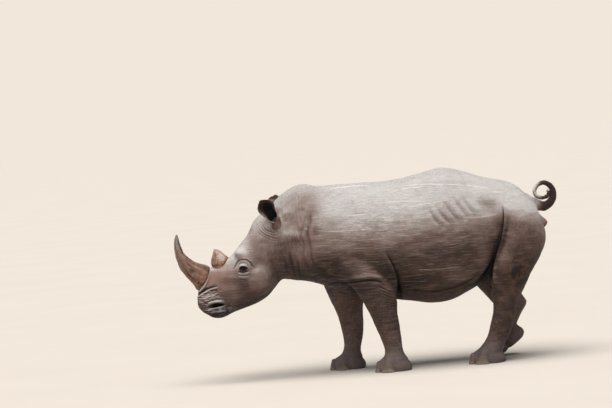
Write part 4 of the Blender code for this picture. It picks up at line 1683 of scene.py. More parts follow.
Flank = partial(Crease, depth=(0.004, 0.01, 0.016, 0.024, 0.034), before=0.008, after=0.006,
                roll=0.008, least_y=0.05, flare=(4.0, 0.8), dark=0.4)
Armpit = partial(Crease, before=0.007, roll=0.005, roll_side=-1, roll_width=0.028, least_y=0.1,
                 flare=(0.0, 2.0))
Elbow = partial(Crease, before=0.005, after=0.005, roll=0.002, roll_width=0.011, sides=LEFT_ONLY,
                least_y=0.2, dark=0.55, edge=0.2)
UnderEar = partial(Crease, before=0.004, after=0.004, roll=0.001, roll_width=0.009, dark=0.7,
                   edge=0.3)
Joint = partial(Crease, before=0.01, after=0.008, roll=0.001, roll_width=0.018, dark=0.35,
                least_y=0.12, edge=0.3)
Rib = partial(Crease, depth=(0.002, 0.0065, 0.002), before=0.014, after=0.017, roll=0.004,
              roll_width=0.038, dark=0.2, least_y=0.1, edge=0.35, sharpness=1.8)

CREASES = (
    # Flank folds in front of the thighs.
    Flank(((1.172, 1.344), (1.173, 1.258), (1.158, 1.173), (1.133, 1.089), (1.11, 1.022),
           (1.088, 0.964), (1.057, 0.906), (1.036, 0.856), (1.027, 0.797), (1.016, 0.729),
           (1.018, 0.642)), sides=LEFT_ONLY),
    Flank(((1.12, 1.344), (1.09, 1.258), (1.05, 1.173), (1.01, 1.089), (0.97, 1.022),
           (0.945, 0.964), (0.92, 0.906), (0.905, 0.856), (0.895, 0.797), (0.9, 0.729),
           (0.925, 0.66)), sides=RIGHT_ONLY),
    # Behind the shoulders and the forelegs.
    Armpit(((0.13, 1.045), (0.149, 1.013), (0.185, 0.933), (0.212, 0.854), (0.226, 0.776),
            (0.225, 0.699), (0.217, 0.633), (0.205, 0.59)),
           (0.001, 0.012, 0.026, 0.04, 0.044), after=0.012, sides=LEFT_ONLY, edge=0.15),
    Armpit(((0.03, 1.04), (0.034, 0.995), (0.026, 0.941), (0.006, 0.87), (-0.018, 0.801),
            (-0.034, 0.741), (-0.044, 0.697), (-0.054, 0.62)),
           (0.003, 0.014, 0.028, 0.038, 0.04), after=0.014, sides=RIGHT_ONLY),
    # The roll of the shoulder over the foreleg.
    Crease(((-0.402, 0.771), (-0.313, 0.795), (-0.228, 0.793), (-0.185, 0.793), (-0.099, 0.799),
            (-0.012, 0.803), (0.047, 0.792), (0.108, 0.758)), (0.01, 0.015, 0.014, 0.009, 0.003),
           0.012, 0.008, 0.007, 0.028, 0.9, 0.16, 0.12, LEFT_ONLY),
    Crease(((-0.5, 0.785), (-0.42, 0.8), (-0.33, 0.8), (-0.24, 0.802), (-0.15, 0.798),
            (-0.09, 0.775)), (0.004, 0.011, 0.01, 0.003), 0.012, 0.009, 0.008, 0.03, 0.7, 0.15,
           0.12, RIGHT_ONLY),
    Crease(((-0.189, 0.76), (-0.15, 0.705), (-0.12, 0.64), (-0.085, 0.57)),
           (0.01, 0.012, 0.006), before=0.03, after=0.01, sides=LEFT_ONLY, least_y=0.13),
    # Slanting wrinkles at the elbow.
    *(Elbow(((0.045 + 0.012 * k, 0.752 - 0.031 * k), (0.105 + 0.008 * k, 0.712 - 0.029 * k),
             (0.172 + 0.006 * k, 0.672 - 0.025 * k)), (0.002, 0.0055 - 0.0006 * k, 0.003))
      for k in range(6)),
    # The long fold low along the belly.
    Crease(((0.3, 0.69), (0.42, 0.668), (0.56, 0.655), (0.7, 0.672), (0.84, 0.722),
            (0.95, 0.79)), (0.004, 0.01, 0.012, 0.009, 0.004), 0.011, 0.009, 0.006, 0.032,
           0.75, 0.12, 0.1),
    # In front of the shoulder, and down the neck.
    Crease(((-0.44, 1.455), (-0.468, 1.403), (-0.476, 1.32), (-0.504, 1.235), (-0.49, 1.106),
            (-0.487, 1.002), (-0.45, 0.92)), (0.001, 0.006, 0.004, 0.01, 0.006, 0.01, 0.004),
           0.014, 0.01, 0.005, 0.036, 0.5, 0.2),
    Crease(((-0.54, 1.3), (-0.563, 1.215), (-0.547, 1.14), (-0.559, 1.05), (-0.532, 0.97),
            (-0.515, 0.89)), (0.001, 0.007, 0.004, 0.008, 0.005), 0.012, 0.01, 0.005, 0.028, 0.5),
    Crease(((-0.676, 1.13), (-0.672, 1.05), (-0.664, 0.97), (-0.65, 0.89), (-0.632, 0.84)),
           (0.002, 0.01, 0.012, 0.008), 0.012, 0.01, 0.005, 0.026, 0.7, 0.25),
    Crease(((-0.622, 1.06), (-0.616, 0.985), (-0.604, 0.91), (-0.59, 0.845)),
           (0.002, 0.009, 0.008), 0.011, 0.009, 0.004, 0.024, 0.6, 0.25),
    Crease(((-0.728, 1.08), (-0.722, 1.01), (-0.712, 0.94), (-0.7, 0.88)),
           (0.002, 0.007, 0.006), 0.01, 0.009, 0.003, 0.022, 0.55, 0.25),
    # Rings under the ears.
    *(UnderEar(((-0.89 - r, 1.4), (-0.893 - r, 1.345 - r), (-0.858, 1.296 - 1.4 * r),
                (-0.8 + 0.4 * r, 1.272 - 1.5 * r), (-0.745 + r, 1.285 - 1.2 * r)),
               (0.001, deep, 0.8 * deep, 0.001))
      for r, deep in ((0.0, 0.0045), (0.014, 0.003), (0.033, 0.004), (0.046, 0.002))),
    # From the jaw round the cheek.
    Crease(((-0.87, 1.13), (-0.845, 1.05), (-0.815, 0.96), (-0.79, 0.87), (-0.775, 0.8)),
           (0.001, 0.006, 0.009, 0.006), 0.022, 0.016, 0.003, 0.045, 0.3, 0.3, roll_side=-1),
    # The mouth, round the front of the muzzle, and its corner.
    Crease(((-1.262, 0.62), (-1.292, 0.612), (-1.335, 0.602), (-1.385, 0.598), (-1.43, 0.603),
            (-1.48, 0.618), (-1.54, 0.628)), (0.012, 0.014, 0.012, 0.01, 0.01), 0.006, 0.007,
           0.006, 0.018, edge=0.02),
    Crease(((-1.236, 0.69), (-1.248, 0.655), (-1.262, 0.622), (-1.258, 0.6)),
           (0.003, 0.007, 0.004), 0.008, 0.008, 0.004, 0.016, 0.5),
    # Where the collar of the front horn meets the nose, and then the wrinkled muzzle.
    Crease(((-1.5, 0.815), (-1.462, 0.85), (-1.425, 0.905), (-1.4, 0.955), (-1.38, 1.0)),
           (0.003, 0.004, 0.004, 0.003), 0.006, 0.008, 0.01, 0.016, 0.3, roll_side=-1),
    Crease(((-1.52, 0.775), (-1.478, 0.8), (-1.429, 0.826), (-1.374, 0.842), (-1.325, 0.846)),
           (0.006, 0.014, 0.014, 0.009, 0.003), 0.007, 0.008, 0.007, 0.016, roll_side=-1),
    # Knees, hocks and ankles.
    *(Joint(path, (0.001, deep, 0.001), sides=sides) for path, deep, sides in (
        (((0.015, 0.44), (0.08, 0.418), (0.15, 0.42), (0.21, 0.432)), 0.003, LEFT_ONLY),
        (((0.06, 0.36), (0.105, 0.35), (0.16, 0.358), (0.212, 0.372)), 0.0025, LEFT_ONLY),
        (((0.06, 0.19), (0.12, 0.172), (0.18, 0.18), (0.24, 0.206)), 0.0035, LEFT_ONLY),
        (((0.09, 0.225), (0.15, 0.214), (0.215, 0.226)), 0.0025, LEFT_ONLY),
        (((-0.29, 0.19), (-0.235, 0.174), (-0.17, 0.182), (-0.12, 0.204)), 0.0035, RIGHT_ONLY),
        (((-0.31, 0.424), (-0.24, 0.406), (-0.17, 0.408), (-0.09, 0.424)), 0.003, RIGHT_ONLY),
        (((0.9, 0.196), (0.97, 0.18), (1.05, 0.192), (1.12, 0.224)), 0.0035, LEFT_ONLY),
        (((1.02, 0.462), (1.08, 0.44), (1.14, 0.442), (1.22, 0.462)), 0.003, LEFT_ONLY))),
    # Between the ribs.
    Rib(((0.53, 1.4), (0.566, 1.3), (0.622, 1.2))),
    Rib(((0.596, 1.4), (0.645, 1.3), (0.715, 1.205))),
    Rib(((0.66, 1.45), (0.715, 1.335), (0.792, 1.215))),
    Rib(((0.73, 1.515), (0.786, 1.385), (0.87, 1.235))),
    Rib(((0.806, 1.5), (0.86, 1.385), (0.94, 1.24))),
)


@dataclass(frozen=True)
class Lump:
    """A soft swelling or, below zero, a hollow: a bell curve round a place in the side view."""

    x: float
    z: float
    along: float
    over: float
    height: float
    tilt: float = 0.0
    least_y: float = 0.05
    fade: float = 0.06

    def press(self, points: Array) -> Array:
        """How far the skin moves.

        Args:
            points: The skin's points.

        Returns:
            How far each moves outwards, in metres.
        """
        away = tipped(points[:, 0] - self.x, points[:, 2] - self.z, self.tilt)
        inside = np.maximum(*(ease(points[:, 1] * side.value, self.least_y,
                                   self.least_y + self.fade) for side in Side))
        return self.height * inside * mound(*away, (0.0, 0.0), (self.along, self.over))


LUMPS = tuple(Lump(*row) for row in (
    (-0.69, 1.34, 0.085, 0.08, -0.008),
    (-0.64, 1.23, 0.12, 0.045, 0.012, -0.2),
    (-0.18, 1.18, 0.19, 0.25, 0.012),
    (0.06, 1.08, 0.06, 0.16, -0.006),
    (1.21, 1.33, 0.13, 0.11, 0.01),
    (1.33, 1.13, 0.11, 0.17, 0.008),
    (-1.23, 0.88, 0.09, 0.06, -0.006),
    (-1.15, 0.78, 0.11, 0.06, 0.006),
    (-1.455, 0.745, 0.05, 0.045, 0.005),
))

# Soft paler or darker areas in the side view, mostly painted light and painted shade and partly the
# hide's own patches: middle, reach along and up, and change of tone.
PAINTED_LIGHT_AND_SHADE = (
    (-0.55, 1.17, 0.17, 0.17, 0.14), (-0.88, 0.95, 0.12, 0.17, 0.11),
    (0.955, 0.92, 0.11, 0.24, 0.16), (1.51, 0.98, 0.09, 0.26, 0.16),
    (-0.42, 1.47, 0.12, 0.1, -0.16), (-0.55, 1.55, 0.22, 0.07, -0.16),
    (-0.56, 1.085, 0.1, 0.09, 0.17), (0.99, 0.96, 0.06, 0.15, 0.1),
    (-1.13, 1.085, 0.13, 0.08, 0.32), (-1.3, 0.73, 0.11, 0.07, 0.1),
    (-0.23, 1.13, 0.19, 0.07, 0.2), (1.06, 1.37, 0.08, 0.11, -0.07),
    (0.96, 1.42, 0.07, 0.06, 0.08), (1.25, 0.85, 0.09, 0.13, 0.07),
    (-0.755, 1.33, 0.05, 0.05, 0.25), (0.78, 0.75, 0.25, 0.08, 0.07),
    (-0.725, 1.24, 0.06, 0.055, 0.22), (-1.08, 0.75, 0.15, 0.07, 0.08),
    (1.54, 0.94, 0.075, 0.2, 0.22), (-0.7, 1.42, 0.06, 0.06, 0.1),
    (-0.14, 1.44, 0.16, 0.08, 0.1), (0.2, 1.53, 0.35, 0.06, 0.08),
    (-0.965, 0.835, 0.11, 0.06, 0.16), (-1.19, 0.75, 0.06, 0.05, 0.12),
    (0.7, 0.79, 0.23, 0.09, 0.1), (0.62, 0.9, 0.33, 0.09, 0.08),
    (1.078, 0.9, 0.034, 0.1, -0.14), (1.49, 0.7, 0.06, 0.1, 0.08),
    (1.365, 0.965, 0.085, 0.1, 0.17), (-0.18, 1.112, 0.11, 0.05, 0.1),
    (-0.437, 1.048, 0.06, 0.05, 0.1), (1.085, 0.78, 0.04, 0.06, -0.1),
    (0.51, 0.7, 0.09, 0.03, 0.1), (-0.435, 1.43, 0.05, 0.08, -0.16),
    (-0.02, 1.33, 0.07, 0.07, -0.1), (0.29, 1.25, 0.07, 0.08, -0.12),
    (0.7, 1.27, 0.15, 0.06, -0.07), (1.07, 1.13, 0.07, 0.06, 0.1),
    (-0.97, 0.85, 0.07, 0.05, 0.1), (-1.09, 1.07, 0.06, 0.06, 0.1),
    (0.77, 0.76, 0.06, 0.06, 0.09), (1.4, 0.8, 0.08, 0.09, 0.1),
)


# ---- eyes, nostrils and feet


@dataclass(frozen=True)
class Frame:
    """A place on the head's side with its own directions: forwards, up and out."""

    centre: Row
    out: Row
    side: Side

    def axes(self) -> Array:
        """The place's own directions.

        Returns:
            Unit vectors forwards, up and out, as rows.
        """
        out = unit(self.side.place(self.out))
        up = unit(np.array([0.0, 0.0, 1.0]) - out * out[2])
        fore = np.cross(up, out) * self.side.value
        return np.stack([fore * (1 if fore[0] < 0 else -1), up, out])

    def local(self, points: Array) -> Array:
        """The points measured along the three directions from the centre."""
        return (points - self.side.place(self.centre)) @ self.axes().T


@dataclass(frozen=True)
class Eye:
    """An eyeball, its lids and the rings of skin round them."""

    side: Side
    centre: Row = (-1.086, 0.168, 0.99)
    out: Row = (-0.2, 0.97, 0.06)
    radius: float = 0.029
    half_width: float = 0.033
    upper: float = 0.015
    lower: float = 0.0165
    lid: float = 0.0045
    lid_reach: float = 0.055
    flatness: float = 1.55
    merge: float = 0.007
    reach: float = 0.125
    thickness: float = 0.12
    pouches: tuple[Row, ...] = ((0.04, 0.004), (0.067, 0.0038))
    corner_rings: Row = (0.05, 0.063, 0.078, 0.092)
    upper_ring: float = 0.07
    lid_fold: float = 0.041

    def frame(self) -> Frame:
        """The eye's own directions."""
        return Frame(self.centre, self.out, self.side)

    def dome(self, square: Array) -> Array:
        """Height of the lids' dome at a squared distance from the eye's middle."""
        ball = self.radius + self.lid
        return ball - square / (self.flatness * ball)

    def upper_edge(self, x: Array) -> Array:
        """Height of the upper lid's edge at share x of the half width."""
        return self.upper * (1.0 - x**2) ** 0.75 + 0.0015 * x

    def outside_opening(self, a: Array, b: Array) -> Array:
        """Distance outside the almond between the lids, below zero within it.

        The almond's upper edge is its height times (1 - x2) to the power 0.75 and its lower edge
        the lesser height times (1 - x2), with x the share of the half width.

        Args:
            a: Places forwards of the eye's centre.
            b: Places above it.

        Returns:
            The distances.
        """
        x = np.clip(a / self.half_width, -1.0, 1.0)
        bottom = -self.lower * (1.0 - x**2) + 0.0015 * x
        beyond = np.hypot(np.maximum(np.abs(a) - self.half_width, 0.0), b)
        return np.where(np.abs(a) < self.half_width,
                        np.maximum(b - self.upper_edge(x), bottom - b), beyond)

    def shape(self, points: Array) -> tuple[Array, dict[str, Array]]:
        """Presses the skin round the eye into lids and rings.

        Near the eye's centre the skin becomes the higher of itself and a dome over the eyeball,
        smoothly merged. Within the almond it drops just under the eyeball. Grooves and ridges are
        bell curves of a flattened distance from the centre.

        Args:
            points: The skin's points.

        Returns:
            The moved points, and masks of painted shade (the lids' dark margin, partly their own
            dark skin, and the grooves round the eye) and of painted highlight on pale ridges.
        """
        here = self.frame()
        place = here.local(points)
        rho = np.hypot(place[:, 0], place[:, 1])
        near = np.flatnonzero((rho < self.reach) & (np.abs(place[:, 2]) < self.thickness))
        a, b, c = place[near].T
        rho = rho[near]
        above, below = ease(b, -0.008, 0.012), ease(b, 0.006, -0.014)
        sway = 0.0035 * value_noise(points[near], 0.035, 41)
        flat_q = np.hypot(a / 2.0, b) + sway
        wide_q = np.hypot(a / 1.1, b) + sway
        skin = c - 0.002 * hill(rho, 0.047, 0.01)
        skin += above * (0.0015 * hill(wide_q, 0.083, 0.01)
                         - 0.0048 * hill(wide_q, self.upper_ring, 0.006))
        front = ease(a, 0.02, 0.05) * ease(b, 0.06, 0.03)
        for ring in self.corner_rings:
            skin -= front * 0.0016 * hill(wide_q, ring, 0.0035)
        window = (below * ease(np.abs(a), 0.062, 0.03)
                  * (0.8 + 0.2 * value_noise(points[near], 0.03, 42)))
        for groove, depth in self.pouches:
            skin -= window * depth * hill(flat_q, groove, 0.0042)
            skin += window * 0.5 * depth * hill(flat_q, groove + 0.014, 0.007)
        skin -= above * 0.0022 * hill(wide_q, self.lid_fold, 0.0035)
        over = self.dome(rho**2) - skin
        gap = np.clip(0.5 + 0.5 * over / self.merge, 0.0, 1.0)
        lidded = skin + over * gap + self.merge * gap * (1.0 - gap)
        lidded = np.where(rho < self.lid_reach, lidded, skin)
        off = self.outside_opening(a, b)
        sunk = np.sqrt(np.maximum((self.radius - 0.003) ** 2 - rho**2, 0.0))
        shown = ease(off, -0.0002, 0.0026)
        final = sunk + (lidded - sunk) * shown + 0.001 * hill(off, 0.0036, 0.0018)
        moved = points.copy()
        moved[near] += (final - c)[:, None] * here.axes()[2]
        margin, ridge_highlight = np.zeros((2, len(points)))
        # Painted shade: the lids' dark margin, partly their own dark skin, and the grooves and
        # rings round the eye.
        grooves = sum(hill(flat_q, g, 0.0045) for g, _ in self.pouches) * window
        margin[near] = np.clip(ease(off, 0.0085, 0.002) + 0.45 * grooves
                               + 0.2 * above * hill(wide_q, self.lid_fold, 0.004)
                               + 0.6 * above * hill(wide_q, self.upper_ring, 0.006), 0.0, 1.0)
        # Painted highlight on the crests beside the pouches and on the ring above the eye.
        crests = sum(hill(flat_q, g + 0.015, 0.006) for g, _ in self.pouches) * window
        ridge_highlight[near] = np.clip(0.8 * crests + above * 0.6 * hill(wide_q, 0.05, 0.014), 0.0, 1.0)
        return moved, {"fold": margin, "ridge_highlight": ridge_highlight}

    def build(self, rings: int = 40, around: int = 48) -> Object:
        """The eyeball: a globe whose front bulges in a clear cap, with its angle off axis kept.

        Rings stand at even angles from the line of sight. The radius is the ball's, plus a cap
        that is a bell curve of that angle.

        Args:
            rings: How many rings.
            around: Points in a ring.

        Returns:
            The eyeball.
        """
        polar = np.linspace(0, math.pi, rings + 2)[1:-1, None]
        reach = self.radius + 0.0012 * hill(polar, 0.0, 0.45) - 0.0006
        poles = np.array([(0, 0, self.radius + 0.0006), (0, 0, -self.radius + 0.0006)])
        axes, centre = self.frame().axes(), self.side.place(self.centre)
        made = closed_rings("eyeball_" + self.side.word, *(
            centre + part @ axes for part in (reach[..., None] * globe(polar, around), poles)))
        off = np.concatenate([np.repeat(polar[:, 0], around), (0.0, math.pi)])
        write_mask(made.data, "off_axis", off)
        return made


@dataclass(frozen=True)
class Nostril:
    """A comma-shaped nostril low on the side of the muzzle, under an arched rim."""

    side: Side
    centre: Row = (-1.356, 0.14, 0.69)
    out: Row = (-0.42, 0.9, 0.02)
    length: float = 0.056
    height: float = 0.019
    depth: float = 0.036

    def shape(self, points: Array) -> tuple[Array, dict[str, Array]]:
        """Presses the nostril into the skin.

        The hollow is a flattened ellipse whose middle line bends down at its rear end; rims and
        wrinkles beside it are bell curves of the height above that line.

        Args:
            points: The skin's points.

        Returns:
            The moved points, and masks of painted shade in the dark hollow and of painted highlight
            on pale ridges.
        """
        here = Frame(self.centre, self.out, self.side)
        place = here.local(points)
        near = np.flatnonzero((np.hypot(place[:, 0], place[:, 1]) < 0.12)
                              & (np.abs(place[:, 2]) < 0.1)
                              & (points[:, 1] * self.side.value > 0.02))
        a, b, _ = place[near].T
        line = -0.004 - 0.1 * a - 3.0 * a**2
        over = b - line
        flat_q = np.hypot(a / self.length, over / (self.height * (1.0 + 0.25 * a / self.length)))
        width = np.exp(-((a / 0.06) ** 4))
        far = 0.5 + 0.5 * value_noise(points[near], 0.03, 43)
        move = -self.depth * ease(flat_q, 1.3, 0.55)
        move += width * (0.0085 * hill(over, 0.029, 0.0095) - 0.0045 * hill(over, 0.049, 0.0055)
                         + far * (0.003 * hill(over, 0.064, 0.007)
                                  - 0.0025 * hill(over, 0.079, 0.0045))
                         + 0.006 * hill(over, -0.026, 0.0085)
                         - 0.004 * hill(over, -0.043, 0.005))
        moved = points.copy()
        moved[near] += move[:, None] * here.axes()[2]
        dark, ridge_highlight = np.zeros((2, len(points)))
        # Painted shade in the hollow, and painted highlight on the crests of the rims.
        dark[near] = ease(flat_q, 1.1, 0.7)
        crest = 0.8 * hill(over, 0.03, 0.009) + 0.5 * hill(over, 0.064, 0.007)
        ridge_highlight[near] = width * np.clip(crest, 0, 1)
        return moved, {"hollow_shade": dark, "ridge_highlight": ridge_highlight}


@dataclass(frozen=True)
class Foot:
    """A three-toed foot: its sole's centre, its reach at the nails and its tilt, toes down.

    Each toe is its angle round from straight ahead, the angle that it covers, and its height.
    """

    name: str
    centre: Row
    reach: Row
    tilt: float = 0.0
    toes: tuple[Row, ...] = ((1.14, 0.88, 0.078), (0.0, 0.96, 0.094), (-1.14, 0.88, 0.078))
    lobe_reach: float = 0.24
    rows: int = 15
    around: int = 25

    @property
    def side(self) -> Side:
        """The side that the foot is on."""
        return Side.LEFT if self.name.endswith("left") else Side.RIGHT

    def lobes(self, points: Array) -> Array:
        """How far the toes swell: a wave round the front of the foot, strongest low down.

        Args:
            points: The skin's points.

        Returns:
            How far each moves outwards, in metres.
        """
        away = points - np.array(self.centre)
        y, (x, z) = away[:, 1], tipped(away[:, 0], away[:, 2], -self.tilt)
        turn = np.arctan2(y, -x)
        near = (np.hypot(x, y) < self.lobe_reach) & (z < 0.16) & (z > -0.05)
        spacing = self.toes[0][0]
        wave = 0.012 * np.cos(turn * 2 * math.pi / spacing) - 0.006 + 0.005 * hill(z, 0.1, 0.02)
        shown = ease(np.abs(turn), 1.95, 1.65) * ease(z, 0.145, 0.08)
        heel = (0.006 * hill(z, 0.035, 0.03) * ease(np.abs(turn), 1.9, 2.4)
                - 0.006 * hill(z, 0.088, 0.014) * ease(np.abs(turn), 1.7, 2.3))
        return np.where(near, wave * shown + heel, 0.0)

    def nail(self, toe: Row) -> Object:
        """One nail as a closed domed slab whose edges round off into the foot.

        Each face of it is a patch of an elliptical cone with an arched upper edge.

        Args:
            toe: One of the toes.

        Returns:
            The nail, with its own map of (round, up).
        """
        turn, span, height = toe
        u = np.linspace(-1.0, 1.0, self.around)[None, :]
        v = np.linspace(0.0, 1.0, self.rows)[:, None]
        angle = -self.side.value * turn + u * span / 2 * (1.0 - 0.22 * v)
        dome = (1.0 - np.abs(u) ** 5) * (1.0 - (2 * v - 1.0) ** 8 * (v > 0.5))
        faces = []
        for offset in (-0.004 + 0.0175 * dome ** 0.5, -0.014):
            x = -(self.reach[0] * (1.0 - 0.16 * v) + offset) * np.cos(angle)
            y = (self.reach[1] * (1.0 - 0.13 * v) + offset) * np.sin(angle)
            z = 0.003 + v * height * (1.0 - 0.45 * u**2)
            x, z = tipped(x, z, self.tilt)
            faces.append(np.stack([x, y, z], axis=-1) + np.array(self.centre))
        made = slab("nail", *faces)
        corners = corner_owners(made.data) % (self.rows * self.around)
        write_map(made.data, "grain", np.stack([corners % self.around / self.around,
                                                corners // self.around / self.rows], axis=1))
        return made

    def build(self) -> Object:
        """Joins the foot's nails.

        Returns:
            The nails as one piece.
        """
        nails = joined("hooves_" + self.name, [self.nail(toe) for toe in self.toes])
        nails.data.shade_smooth()
        return nails


FEET = (
    Foot("forefoot_left", (0.133, -0.272, 0.0), (0.153, 0.142)),
    Foot("forefoot_right", (-0.25, 0.272, 0.0), (0.153, 0.142)),
    Foot("hindfoot_left", (0.945, -0.272, 0.0), (0.155, 0.136)),
    Foot("hindfoot_right", (1.146, 0.272, 0.088), (0.154, 0.132), -0.565),
)


# ---- the skin


@dataclass(frozen=True)
class Skin:
    """The one skin over body, ears and tail, with its folds, lids, nostrils, toes and masks."""

    flesh: Flesh
    ears: tuple[Ear, ...]
    tail: Tail
    eyes: tuple[Eye, ...]
    nostrils: tuple[Nostril, ...]
    finish: SkinFinish = SkinFinish()
    feet: tuple[Foot, ...] = FEET
    creases: tuple[Crease, ...] = CREASES
    lumps: tuple[Lump, ...] = LUMPS
    shades: tuple[Row, ...] = PAINTED_LIGHT_AND_SHADE
    voxel: float = 0.006
    triangles: int = 190_000

    def base(self) -> Object:
        """Blends body, ears and tail.

        Returns:
            One closed mesh, finer round the eyes and nostrils.
        """
        parts = [self.flesh.build(), self.tail.build()]
        for ear in self.ears:
            parts += [ear.build(), ear.plug()]
        skin = remeshed(joined("hide", parts), self.voxel, 2, "hide")
        for eye in self.eyes:
            for reach in (0.105, 0.052):
                refine(skin, eye.side.place(eye.centre), reach)
        refine(skin, (-1.4, 0.0, 0.72), 0.215)
        return skin

    def fold(self, points: Array, normals: Array) -> tuple[Array, Array]:
        """Moves the skin by its creases, lumps, toes, furrow and unevenness.

        Args:
            points: The skin's points.
            normals: Their unit normals.

        Returns:
            The moved points and the mask of painted shade in all grooves.
        """
        move, groove = np.zeros((2, len(points)))
        for crease in self.creases:
            pressed, dark = crease.press(points)
            move += pressed
            groove = np.maximum(groove, dark)
        for lump in self.lumps:
            move += lump.press(points)
        for foot in self.feet:
            move += foot.lobes(points)
        pressed, dark = self.furrow(points)
        move += pressed
        for roughness in self.unevenness(points):
            move += roughness
        return points + move[:, None] * normals, np.maximum(groove, dark)

    def unevenness(self, points: Array) -> tuple[Array, ...]:
        """Moves along the normal that no single crease makes.

        The body is broadly uneven by noise at two sizes. The muzzle has slanting rows, by a cosine
        of the height above a slope, under pillows of noise whose middle values are valleys. The
        throat has upright wrinkles of such noise turned over.

        Args:
            points: The skin's points.

        Returns:
            The moves, in metres, in the order in which they're added.
        """
        x, _, z = points.T
        body = self.away_from_ears(points)
        muzzle = ease(x, -1.27, -1.34) * ease(z, 0.845, 0.815) * ease(z, 0.6, 0.63)
        tilted = z - 0.22 * x + 0.01 * value_noise(points, 0.045, 12)
        rows = (np.cos(2 * math.pi * tilted / 0.0185)
                * (0.35 + 0.65 * value_noise(points, 0.03, 14)))
        wide, fine = (2.0 * np.abs(value_noise(points, size, seed)) - 1.0 for size, seed in (
            ((0.034, 0.034, 0.017), 11), ((0.017, 0.017, 0.0095), 15)))
        throat = ease(x, -0.8, -0.7) * ease(x, -0.4, -0.5)
        upright = 1.0 - 2.0 * np.abs(value_noise(points, (0.03, 0.05, 0.14), 13))
        return (body * 0.0035 * value_noise(points, 0.17, 3),
                body * 0.0016 * value_noise(points, (0.07, 0.07, 0.035), 5),
                muzzle * (0.0008 * rows + 0.0025 * wide + 0.0013 * fine),
                throat * 0.0028 * upright)

    def furrow(self, points: Array) -> tuple[Array, Array]:
        """The furrow and swelling under the tail, the lines down the thighs, the tail's creases.

        All are bell curves across the body, faded in towards the rear and over their heights.

        Args:
            points: The skin's points.

        Returns:
            The move along the normal, in metres, and the mask of painted shade in the furrow, the
            lines and the creases.
        """
        x, y, z = points.T
        behind = ease(x, 1.28, 1.4)
        middle = behind * hill(y, 0.0, 0.026) * ease(z, 1.13, 1.02) * ease(z, 0.6, 0.74)
        side = behind * ease(z, 1.22, 1.05) * ease(z, 0.62, 0.76)
        aside = np.abs(y) - 0.105 - 0.05 * (z - 0.9) - 0.006 * value_noise(points, 0.06, 51)
        move = (-0.024 * middle - 0.01 * side * hill(aside, 0.0, 0.013)
                + 0.006 * side * hill(aside, -0.032, 0.02))
        seat = ease(x, 1.36, 1.42) * ease(z, 1.06, 1.12) * ease(z, 1.3, 1.26)
        around = np.hypot(y, z - 1.245) + 0.01 * value_noise(points, 0.045, 52)
        rings = hill(around, 0.078, 0.006) + 0.5 * hill(around, 0.108, 0.006)
        rings *= 0.55 + 0.45 * value_noise(points, 0.05, 53)
        move -= 0.0038 * seat * rings
        under = self.swelling(points)
        move += 0.085 * under - 0.01 * under * hill(y, 0.0, 0.007)
        # Painted shade in the furrow, the lines down the thighs and the tail's creases.
        dark = 0.9 * middle**2 + 0.45 * side * hill(aside, 0.0, 0.011) + 0.15 * seat * rings
        return move, np.clip(dark, 0.0, 1.0)

    def swelling(self, points: Array) -> Array:
        """One at the middle of the swelling under the tail, falling off by bell curves."""
        x, y, z = points.T
        return ease(x, 1.36, 1.45) * hill(y, 0.0, 0.052) * hill(z, 1.15, 0.062)

    def away_from_ears(self, points: Array) -> Array:
        """Where the body itself is.

        Args:
            points: The skin's points.

        Returns:
            One on the body, zero on the ears and on the thin part of the tail.
        """
        kept = np.ones(len(points))
        for ear in self.ears:
            t, away, _ = ear.local(points)
            kept *= 1.0 - ease(t, -0.05, 0.08) * ease(t, 1.3, 1.15) * ease(away, 0.13, 0.1)
        return kept * ease(points[:, 0], 1.6, 1.5)

    def masks(self, points: Array, normals: Array) -> dict[str, Array]:
        """Masks that depend only on place and slope.

        The tone runs from the dark underside to the dusty back by the normal's upward share:
        painted shade below and painted light above, with dust on the back. It is then raised or
        lowered over broad regions, largely as painted light and painted shade and partly as dust
        and the hide's own paler or darker patches. The others say where crazed skin lies (legs,
        tail, thighs and the level back), where wrinkles stand upright or show lengthwise, and where
        mud, soiled feet, wet lips with their painted sheen and rufous skin are.

        Args:
            points: The skin's points.
            normals: Their unit normals.

        Returns:
            Each mask by name.
        """
        x, y, z = points.T
        slope = normals[:, 2]
        # Painted shade below and painted light above, with dust: paler the more the skin faces up.
        tone_with_painted_light = np.interp(slope, (-1.0, -0.5, -0.2, 0.0, 0.15, 0.3, 0.5, 0.75, 1.0),
                         (0.0, 0.05, 0.13, 0.27, 0.42, 0.62, 0.82, 0.93, 1.0))
        # Dust lies down to a wavy line along the flank.
        wave = 0.03 * value_noise(points, 0.22, 31) + 0.012 * value_noise(points, 0.06, 32)
        dusty = np.interp(x, (-0.5, -0.4, -0.2, 0.0, 0.13, 0.35, 0.7, 1.1),
                          (1.27, 1.24, 1.19, 1.12, 1.09, 1.13, 1.17, 1.2))
        over = z + wave - dusty
        tone_with_painted_light += ease(x, -0.5, -0.38) * (0.24 * ease(over, -0.05, 0.07) * ease(slope, 0.8, 0.4)
                                         - 0.05 * ease(over, -0.06, -0.22))
